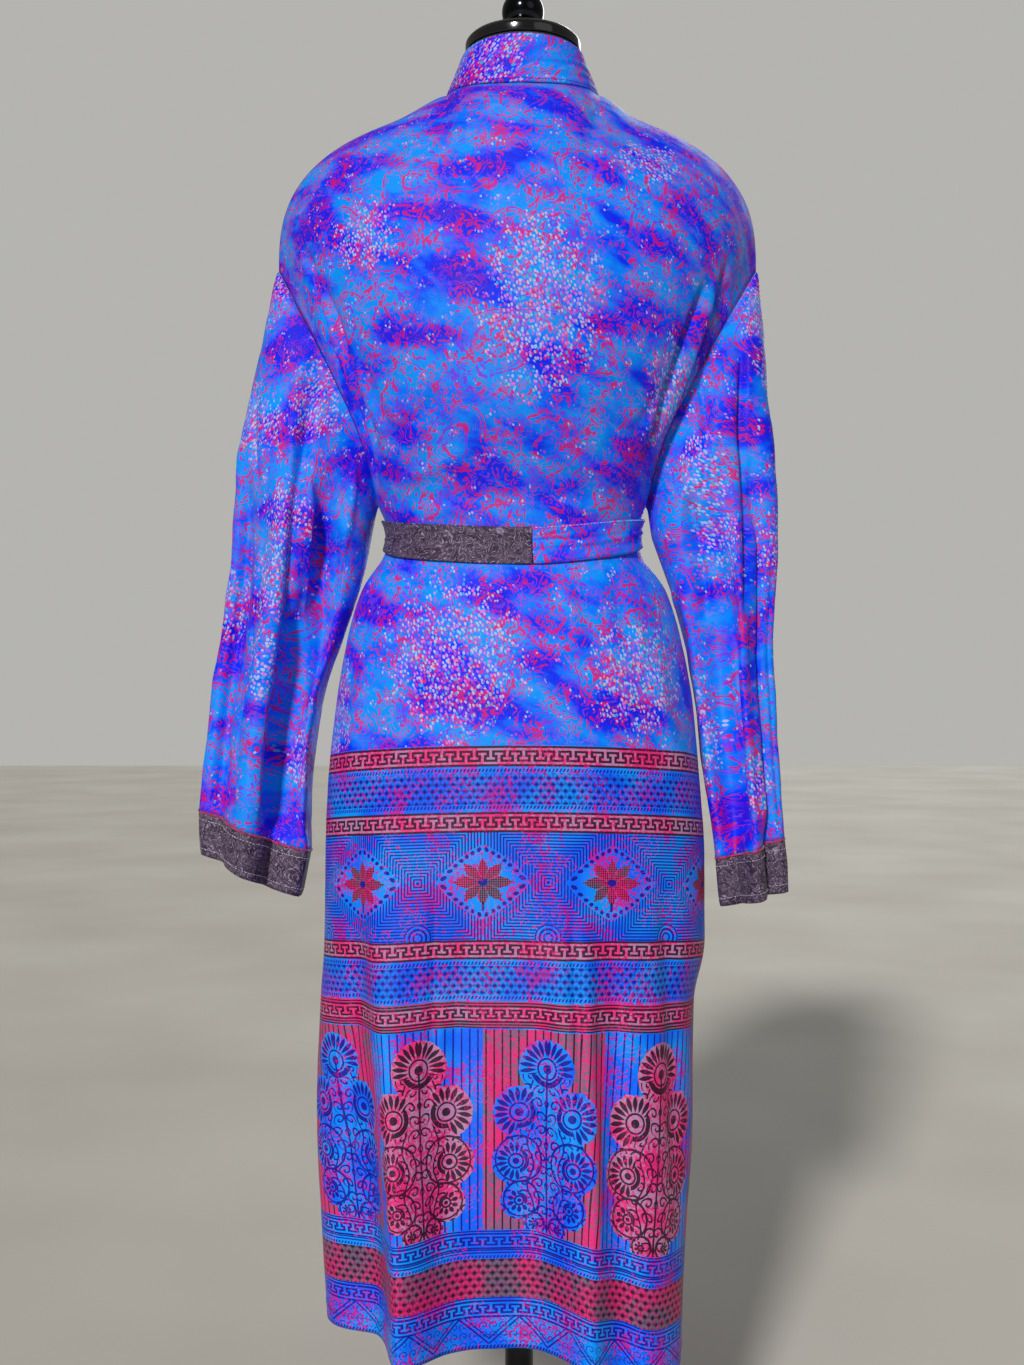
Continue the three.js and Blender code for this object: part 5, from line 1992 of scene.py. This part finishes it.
@dataclass
class SleevePair:
    """The two hanging sleeves with their cuffs and piping."""

    room: SewingRoom
    cloth: float = 1.0
    cuff_cloth: float = 2.0
    columns: int = 210
    rows: int = 120
    cuff_rows: int = 12
    cord_radius: float = 1.1

    def build(self) -> None:
        """Makes both sides."""
        for side in Side:
            self._sleeve(side)
            self._cuff(side)

    def _around(self, side: Side) -> Array:
        """Turns round the sleeve, to the right seen from outside."""
        share = np.linspace(0, 1, self.columns + 1)
        return 1 - share if side is Side.LEFT else share

    def _ring(self, side: Side, ring: dict[str, Array], turn: Array, at: Array) -> Array:
        """Places round a hanging ring.

        Args:
            side: the wearer's side.
            ring: the ring's columns, by name.
            turn: from the outer edge (0) by the front to the inner edge and the back.
            at: the share of the sleeve's length, for its folds.

        Returns:
            The places.
        """
        c, s = np.cos(turn * TURN), np.sin(turn * TURN)
        outer = xyz(side.value * ring["out_x"], ring["y"], ring["out_z"])
        inner = xyz(side.value * ring["in_x"], ring["y"], ring["in_z"])
        middle = (outer + inner) / 2
        half = outer - middle
        lift = np.zeros(np.broadcast(turn, at).shape)
        for fold in SLEEVE_FOLDS[side]:
            away = np.abs(turn - fold.turn)
            near = np.minimum(away, 1 - away)
            lift = lift + fold.out * smooth((at - fold.start) / 0.35) * np.exp(-((near / fold.width) ** 2))
        y = -np.sign(s) * np.where(s > 0, ring["front"], ring["back"]) * np.abs(s) ** 0.85
        p = middle + half * c[..., None]
        p[..., 1] += y
        away = unit(xyz(half[..., 0] * c, y, half[..., 2] * c * 0.3))
        return p + away * lift[..., None]

    def _hung(self, side: Side, turn: Array, at: Array) -> Array:
        """Places on the sleeve: it starts on the armhole loop and hangs into its rings."""
        shape = self.room.shape
        ring = {c: read(SLEEVES[side], c, "at", at) for c in Ring._fields[1:]}
        hung = self._ring(side, ring, turn, at)
        up = np.abs(2 * (turn % 1) - 1)
        behind, before = (shape.armhole(side, up, rear) for rear in (True, False))
        seam = np.where((turn > 0.5)[..., None], behind, before)
        seam = seam + np.array((side.value * 0.92, 0, -0.39)) * (shape.seam_gap + at * 60)[..., None]
        return lerp(seam, hung, smooth(at / 0.12)[..., None])

    def _sleeve(self, side: Side) -> None:
        """One sleeve."""
        t = np.linspace(0, 1, self.rows + 1)
        turn, at = np.meshgrid(self._around(side), (1 - t) ** 1.15)
        points = self._hung(side, turn, at)
        cloth = unrolled(points, 500 if side is Side.LEFT else 1200, BORDER_TOP + 60)
        seed = 31 + side.value
        grid = ClothGrid(points, cloth, self.cloth, True, scattered(points, seed, 15, 34))
        ends = smooth(t / 0.06) * smooth((1 - t) / 0.1)
        drag = self._drag(side, turn, at)
        relief = crumple(points, seed, 120, 1.6) + crumple(points, seed + 3, 42, 0.5) + drag
        relief[:, -1] = relief[:, 0]
        grid = grid.raised(relief * ends[:, None])
        piece = grid.mesh("robe_sleeve_" + side.word)
        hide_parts("sleeve_" + side.word)
        dress(piece, "printed_silk", self.room.mottle)

    def _drag(self, side: Side, turn: Array, at: Array) -> Array:
        """Creases down the sleeve, and slanting drag creases across the bend at the elbow."""
        height = np.zeros(turn.shape)
        for c in SLEEVE_CREASES[side]:
            along = (at - c.start) / (c.end - c.start)
            away = (turn - lerp(c.turn, c.turn_end, along) + 0.5) % 1 - 0.5
            width = np.where(away > 0, c.width * c.spread, c.width)
            height += c.out * smooth(along * 5) * smooth((1 - along) * 5) * np.exp(-((away / width) ** 2))
        random = np.random.default_rng(50 + side.value)
        for k in range(14):
            centre, start = random.uniform(0, 1), random.uniform(0.1, 0.85)
            slant, length = random.uniform(-0.35, 0.35), random.uniform(0.1, 0.28)
            width, out = random.uniform(0.012, 0.024), random.choice((-1, 1)) * random.uniform(1.2, 2.8)
            along = (at - start) / length
            away = np.abs((turn - centre - slant * (at - start)) % 1)
            near = np.minimum(away, 1 - away)
            height += out * smooth(along * 3) * smooth((1 - along) * 2) * np.exp(-((near / width) ** 2))
        return height

    def _cuff(self, side: Side) -> None:
        """One cuff with its piping and stitches."""
        t = np.linspace(0, 1, self.cuff_rows + 1)
        turn, down = np.meshgrid(self._around(side), lerp(0.012, 1, 1 - t))
        first, last = SLEEVES[side][-1], CUFFS[side]
        ring = {c: lerp(getattr(first, c), getattr(last, c), down) for c in Ring._fields[1:]}
        points = self._ring(side, ring, turn, np.ones_like(turn))
        grid = ClothGrid(points, unrolled(points), self.cuff_cloth, True)
        puff = 0.8 * np.sin(t * math.pi)[:, None] ** 0.5 + crumple(points, 41 + side.value, 60, 0.5)
        puff[:, -1] = puff[:, 0]
        grid = grid.raised(puff * smooth(np.minimum(t, 1 - t) / 0.08)[:, None])
        piece = grid.mesh("robe_cuff_" + side.word)
        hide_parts("cuff_" + side.word)
        dress(piece, "plain_silk", self.room.plain)
        out = grid.over(0.3)
        cord = piping("cuff_piping_" + side.word, grid.over(0.1)[-1, :-1], self.cord_radius)
        dress(cord, "printed_silk", self.room.pink_cord)
        for row, word in ((2, "low"), (-3, "high")):
            name = f"cuff_stitches_{word}_{side.word}"
            self.room.row(name, out[row], self.room.pale_thread, 3.4, 2.2, 0.25)


@dataclass
class TiedSash:
    """The sash round the waist, pieced of two cloths, with its knot and hanging ends.

    Attributes:
        join: the turn at which the two cloths are pieced, and join_gap half the gap there.
        tuck: how far from the knot's turn the stretches end.
    """

    room: SewingRoom
    cloth: float = 1.9
    clear: float = 1.9
    thick: float = 2.0
    join: float = 0.265
    join_gap: float = 0.0005
    tuck: float = 0.012
    knot_turn: float = 0.75
    knot_z: float = 1003
    knot_across: float = 40
    knot_tall: float = 36
    knot_deep: float = 22
    knot_sink: float = 1.1
    columns: int = 190
    rows: int = 26

    def build(self) -> None:
        """Makes both stretches, the knot and the ends."""
        plain, printed = ("plain_silk", self.room.plain), ("printed_silk", self.room.mottle)
        first, last = self.knot_turn - 1 + self.tuck, self.knot_turn - self.tuck
        self._stretch("sash_plain", first, self.join - self.join_gap, *plain)
        self._stretch("sash_printed", self.join + self.join_gap, last, *printed)
        self._knot()
        self._tail(Side.LEFT, *plain)
        self._tail(Side.RIGHT, *printed)

    def _stretch(self, node: str, start: float, end: float, slot: str, material: Material) -> None:
        """One stretch of the sash, drawn into long flat wrinkles.

        Args:
            node: the node that it replaces.
            start: the turn where it starts.
            end: the turn where it ends.
            slot: the record's material slot.
            material: its material.
        """
        shape = self.room.shape
        turn, t = np.meshgrid(np.linspace(start, end, self.columns + 1), np.linspace(0, 1, self.rows + 1))
        middle, width = (read(SASH_LINE, c, "turn", turn % 1) for c in ("z", "width"))
        z = middle + (t - 0.5) * width
        p, waist = shape.body(turn * TURN, z), shape.body(turn * TURN, middle)
        reach = np.maximum(np.hypot(p[..., 0], p[..., 1]), np.hypot(waist[..., 0], waist[..., 1]))
        flat = unit(xyz(p[..., 0], p[..., 1], 0 * z)) * (reach + self.clear + self.thick)[..., None]
        points = xyz(flat[..., 0], flat[..., 1], z)
        grid = ClothGrid(points, unrolled(points, up=BORDER_TOP + 200), self.cloth)
        relief = 0.5 * np.sin(t * math.pi) ** 0.4
        for w in SASH_WRINKLES:
            line = w.at + w.sway * np.sin(turn * w.pace * 2 + w.at * 9)
            strength = 0.55 + 0.45 * np.sin(turn * 17 + w.at * 31)
            relief = relief + w.out * strength * np.exp(-(((t - line) / w.width) ** 2))
        ends = smooth(np.minimum(t, 1 - t) / 0.06)
        grid = grid.raised(relief * ends)
        piece = grid.mesh("robe_" + node)
        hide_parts(node)
        dress(piece, slot, material)
        length = float(arc_lengths(grid.points, 1)[:, -1].mean()) * MM
        out = grid.over()
        if slot == "printed_silk":
            self.room.row(node + "_stitches_top", out[-2, 2:-2], self.room.pale_thread, 3.6, 2.0, 0.32)
            self.room.row(node + "_stitches_low", out[1, 2:-2], self.room.blue_thread)
        else:
            self.room.row(node + "_stitches_top", out[-2, 2:-2], self.room.blue_thread)

    def _knot(self) -> None:
        """The half knot: a bulging lump with the pleats of the cloth that is drawn through it."""
        shape = self.room.shape
        waist = float(shape.body(np.array(self.knot_turn * TURN), np.array(self.knot_z))[1])
        middle = waist - self.clear - self.thick - self.knot_deep / 2 + self.knot_sink
        around, rise = np.meshgrid(np.arange(72) / 72 * TURN, np.linspace(-0.47, 0.47, 49) * math.pi)
        side, up = np.cos(rise) * np.cos(around), np.sin(rise)
        deep = np.cos(rise) * np.sin(around)
        pleats = 1 + 0.045 * np.sin((side + up * 0.8) * 15) * smooth(-deep * 1.6 + 0.3)
        pinch = 1 - 0.16 * np.cos(up * math.pi) ** 2
        rings = xyz(
            side * self.knot_across / 2 * pinch * pleats,
            middle + deep * self.knot_deep / 2 * pleats,
            self.knot_z + up * self.knot_tall / 2,
        )
        piece = solid_of_rings("robe_sash_knot", rings)
        flat = piece.data.uv_layers.new(name="cloth")
        co = np.array([piece.data.vertices[k.vertex_index].co[:] for k in piece.data.loops])
        flat.data.foreach_set("uv", (co[:, (0, 2)] + np.array((0.4, 0.4))).astype(np.float32).ravel())
        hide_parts("sash_knot")
        dress(piece, "printed_silk", self.room.mottle)

    def _tail(self, side: Side, slot: str, material: Material) -> None:
        """A hanging end: it comes out under the knot and falls just clear of the front.

        Args:
            side: the side on which it hangs.
            slot: the record's material slot.
            material: its material.
        """
        shape = self.room.shape
        length, width, lean = TAILS[side]
        u, t = np.meshgrid(np.linspace(0, 1, 23), np.linspace(0, 1, 121))
        down = 1 - t
        z = self.knot_z - self.knot_tall / 2 - shape.seam_gap - down * length
        opened = smooth(down / 0.22)
        x = side.value * (lerp(9, 24, opened) + lean * down) + (u - 0.5) * lerp(12, width, opened)
        ripple = 3 * opened * np.sin(u * TURN + down * 3) - 3 * opened

        def clear(px: Array, pz: Array) -> Array:
            """How far forward the cloth has to be to hang clear of the front."""
            turn = -np.arccos(px / shape.widths(px, pz))
            return shape.body(turn, pz)[..., 1] - self.thick - 5

        deepest = np.minimum(clear(x, z), np.minimum(clear(x * 0.6, z + 25), clear(x * 1.15, z - 25)))
        waist = shape.body(np.array(-math.pi / 2), np.array(self.knot_z))[1]
        start = waist - self.clear - self.thick - self.knot_deep / 2
        points = xyz(x, lerp(start, deepest + ripple, smooth(down / 0.12)), z)
        grid = ClothGrid(points, unrolled(points, up=BORDER_TOP + 80), self.cloth)
        gathers = 0.5 * np.sin(u * math.pi * 5 + 1) * (1 - opened)
        relief = crumple(points, 61 + side.value, 60, 0.5) + gathers
        grid = grid.raised(relief * smooth(np.minimum(u, 1 - u) / 0.1))
        piece = grid.mesh("robe_sash_tail_" + side.word)
        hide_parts("sash_tail_" + side.word)
        dress(piece, slot, material)
        out = grid.over()
        self.room.row("tail_stitches_" + side.word, out[3, 1:-1], self.room.blue_thread)


# ---- the dress form -----------------------------------------------------------------------------
@dataclass
class DressForm:
    """The limbless form with its neck cap, knob, pole and round base."""

    shape: RobeShape
    around: int = 96
    rings: int = 90
    cap_radius: float = 57.5
    cap_tall: float = 14
    flange: float = 23
    knob_radius: float = 21
    knob_neck: float = 14
    pole_radius: float = 14
    base_radius: float = 190
    base_rim: float = 8
    base_tall: float = 16
    boss: float = 30
    boss_tall: float = 34

    def build(self) -> None:
        """Makes the torso, cap, knob, pole and base."""
        cover = FormCover().material("form_jersey")
        black = Gloss(ink(10, 10, 12), ink(22, 22, 26), 0, 0.14, 0.6).material("cap_lacquer")
        chrome = Gloss(ink(34, 36, 44), ink(58, 60, 70), 1, 0.16, 0.2).material("knob_black_chrome")
        steel = Gloss(ink(30, 31, 34), ink(48, 49, 54), 0.9, 0.34, 0.1).material("stand_black_steel")
        self._torso(cover)
        gap = self.shape.seam_gap
        neck = FORM[-1].z + gap
        r, h = self.cap_radius, self.cap_tall
        top = neck + h
        cap = rounded([(0.01, neck, 0), (r, neck, 1), (r, top - 5, 2), (r - 5, top, 3), (0.01, top, 0)])
        self._add("form_neck_cap", turned("form_cap", cap, 128, self.shape.neck_shift), "form_cap", black)
        self._add("form_knob", self._knob(neck + h + gap), "form_cap", chrome)
        low, high = self.boss_tall + gap, FORM[0].z - gap
        p = self.pole_radius
        pole = [(0.01, low), (p - 0.4, low), (p, low + 0.4)]
        pole += [(p, z) for z in np.linspace(low + 2, high - 2, 8)]
        pole += [(p, high - 0.4), (p - 0.4, high), (0.01, high)]
        self._add("stand_pole", turned("stand_pole_tube", pole, 64), "stand_metal", steel)
        b, s = self.base_radius, self.boss
        base = rounded(
            [
                (0.01, 0, 0),
                (b, 0, 1.5),
                (b, self.base_rim, 3),
                (b - 8, self.base_rim + 4, 3),
                (s + 14, self.base_tall, 6),
                (s, self.base_tall + 6, 3),
                (s - 8, self.boss_tall, 3),
                (0.01, self.boss_tall, 0),
            ]
        )
        self._add("stand_base", turned("stand_base_dish", base, 160), "stand_metal", steel)

    def _add(self, node: str, piece: Piece, slot: str, material: Material) -> None:
        """Lets a rigid piece stand for its node.

        Args:
            node: the node's name.
            piece: the new piece.
            slot: the record's material slot.
            material: its material.
        """
        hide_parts(node)
        dress(piece, slot, material)

    def _torso(self, cover: Material) -> None:
        """The padded body, closed above and below."""
        z = np.linspace(FORM[0].z, FORM[-1].z, self.rings)
        angle, level = np.meshgrid(np.arange(self.around) / self.around * TURN, z)
        side, back, front = (read(FORM, c, "z", level) for c in ("side", "back", "front"))
        c, s = np.cos(angle), np.sin(angle)
        points = self.shape.leaned(xyz(c * side, s * np.where(s > 0, back, front), level))
        self._add("form_torso", solid_of_rings("form_body", points), "form_cover", cover)

    def _knob(self, foot: float) -> Piece:
        """The ball on its flange."""
        r, neck = self.knob_radius, self.knob_neck
        rim = self.flange
        outline = [(0.01, foot), (rim - 0.6, foot), (rim, foot + 0.6), (rim, foot + 2.4)]
        outline += [(rim - 0.8, foot + 3), (neck + 4, foot + 5), (neck, foot + 6.4)]
        middle = foot + 6 + r
        for angle in np.linspace(-0.27, 0.498, 40) * math.pi:
            outline.append((max(0.01, r * math.cos(angle)), middle + r * math.sin(angle)))
        return turned("form_ball", [p for p in outline if p[1] <= middle + r], 96, self.shape.neck_shift)


# ---- the studio ---------------------------------------------------------------------------------
class Lamp(NamedTuple):
    """A far, soft lamp: the way to it, the angle it fills, its strength and colour."""

    name: str
    place: tuple[float, float, float]
    width: float
    strength: float
    colour: Colour


@dataclass
class Studio:
    """A pale floor, soft lamps and the camera behind the wearer."""

    focal: float = 1500
    height: int = 1365
    sensor: float = 36
    camera_place: tuple[float, float, float] = (0.007, 1.5, 0.860)
    floor_half: float = 14
    ambient: float = 0.13
    backdrop: float = 0.46
    sky: Colour = (1, 0.99, 0.95)
    lamps: tuple[Lamp, ...] = (
        Lamp("key_lamp", (1.0, 3.1, 1.7), 0.12, 2.95, (1, 0.98, 0.95)),
        Lamp("fill_lamp", (-2.2, 2.6, 1.4), 0.6, 0.14, (0.95, 0.97, 1)),
        Lamp("front_lamp", (-0.8, -3.0, 1.0), 0.6, 0.9, (1, 1, 1)),
    )

    def build(self) -> None:
        """Makes the floor, the lamps and the camera, and sets how colours are shown."""
        self._floor()
        self._sky()
        for lamp in self.lamps:
            self._lamp(lamp)
        self._camera()
        view = bpy.context.scene.view_settings
        view.view_transform, view.look = "Standard", "None"

    def _floor(self) -> None:
        """The floor, with its top face at height 0."""
        h = self.floor_half
        mesh = bpy.data.meshes.new("floor")
        mesh.from_pydata([(-h, -h, 0), (h, -h, 0), (h, h, 0), (-h, h, 0)], [], [(0, 1, 2, 3)])
        floor = placed("floor", mesh)
        mesh.materials.append(FloorFinish().material("studio_floor"))

    def _sky(self) -> None:
        """The even light from all round, behind which a paler backdrop shows."""
        world = bpy.context.scene.world or bpy.data.worlds.new("studio")
        bpy.context.scene.world = world
        world.use_nodes = True
        nodes, links = world.node_tree.nodes, world.node_tree.links
        sky = nodes["Background"]
        sky.inputs["Color"].default_value = (*self.sky, 1)
        seen = nodes.new("ShaderNodeLightPath")
        amount = nodes.new("ShaderNodeMath")
        amount.operation = "MULTIPLY_ADD"
        links.new(seen.outputs["Is Camera Ray"], amount.inputs[0])
        amount.inputs[1].default_value = self.backdrop - self.ambient
        amount.inputs[2].default_value = self.ambient
        links.new(amount.outputs[0], sky.inputs["Strength"])

    def _lamp(self, lamp: Lamp) -> None:
        """One lamp."""
        light = bpy.data.lights.new(lamp.name, "SUN")
        light.energy, light.color, light.angle = lamp.strength, lamp.colour, lamp.width
        made = bpy.data.objects.new(lamp.name, light)
        bpy.context.scene.collection.objects.link(made)
        x, y, z = made.location = lamp.place
        made.rotation_euler = (math.atan2(math.hypot(x, y), z), 0, math.atan2(x, -y))

    def _camera(self) -> None:
        """The level camera that looks along -Y."""
        data = bpy.data.cameras.new("camera")
        data.sensor_width = self.sensor
        data.lens = self.focal / self.height * self.sensor
        made = bpy.data.objects.new("camera", data)
        bpy.context.scene.collection.objects.link(made)
        made.location = self.camera_place
        made.rotation_euler = (math.pi / 2, 0, math.pi)
        bpy.context.scene.camera = made


def main() -> None:
    """Builds the robe, the form and the studio in order."""
    logging.basicConfig(level=logging.INFO, format="%(name)s %(message)s")
    shape = RobeShape()
    silk = PrintedSilk()
    room = SewingRoom(
        shape,
        border=silk.material("silk_border", True),
        mottle=silk.material("silk_mottle", False),
        plain=PlainSilk().material("silk_plain"),
        blue_thread=ThreadFinish(ink(30, 30, 170), ink(12, 12, 90)).material("thread_blue"),
        pale_thread=ThreadFinish(ink(226, 226, 238), ink(150, 150, 180)).material("thread_pale"),
        pink_cord=ThreadFinish(ink(196, 34, 96), ink(120, 16, 70)).material("cord_pink"),
        stitcher=Stitcher(),
    )
    RobeBody(room).build()
    SleevePair(room).build()
    TiedSash(room).build()
    DressForm(shape).build()
    Studio().build()


if __name__ == "__main__":
    main()
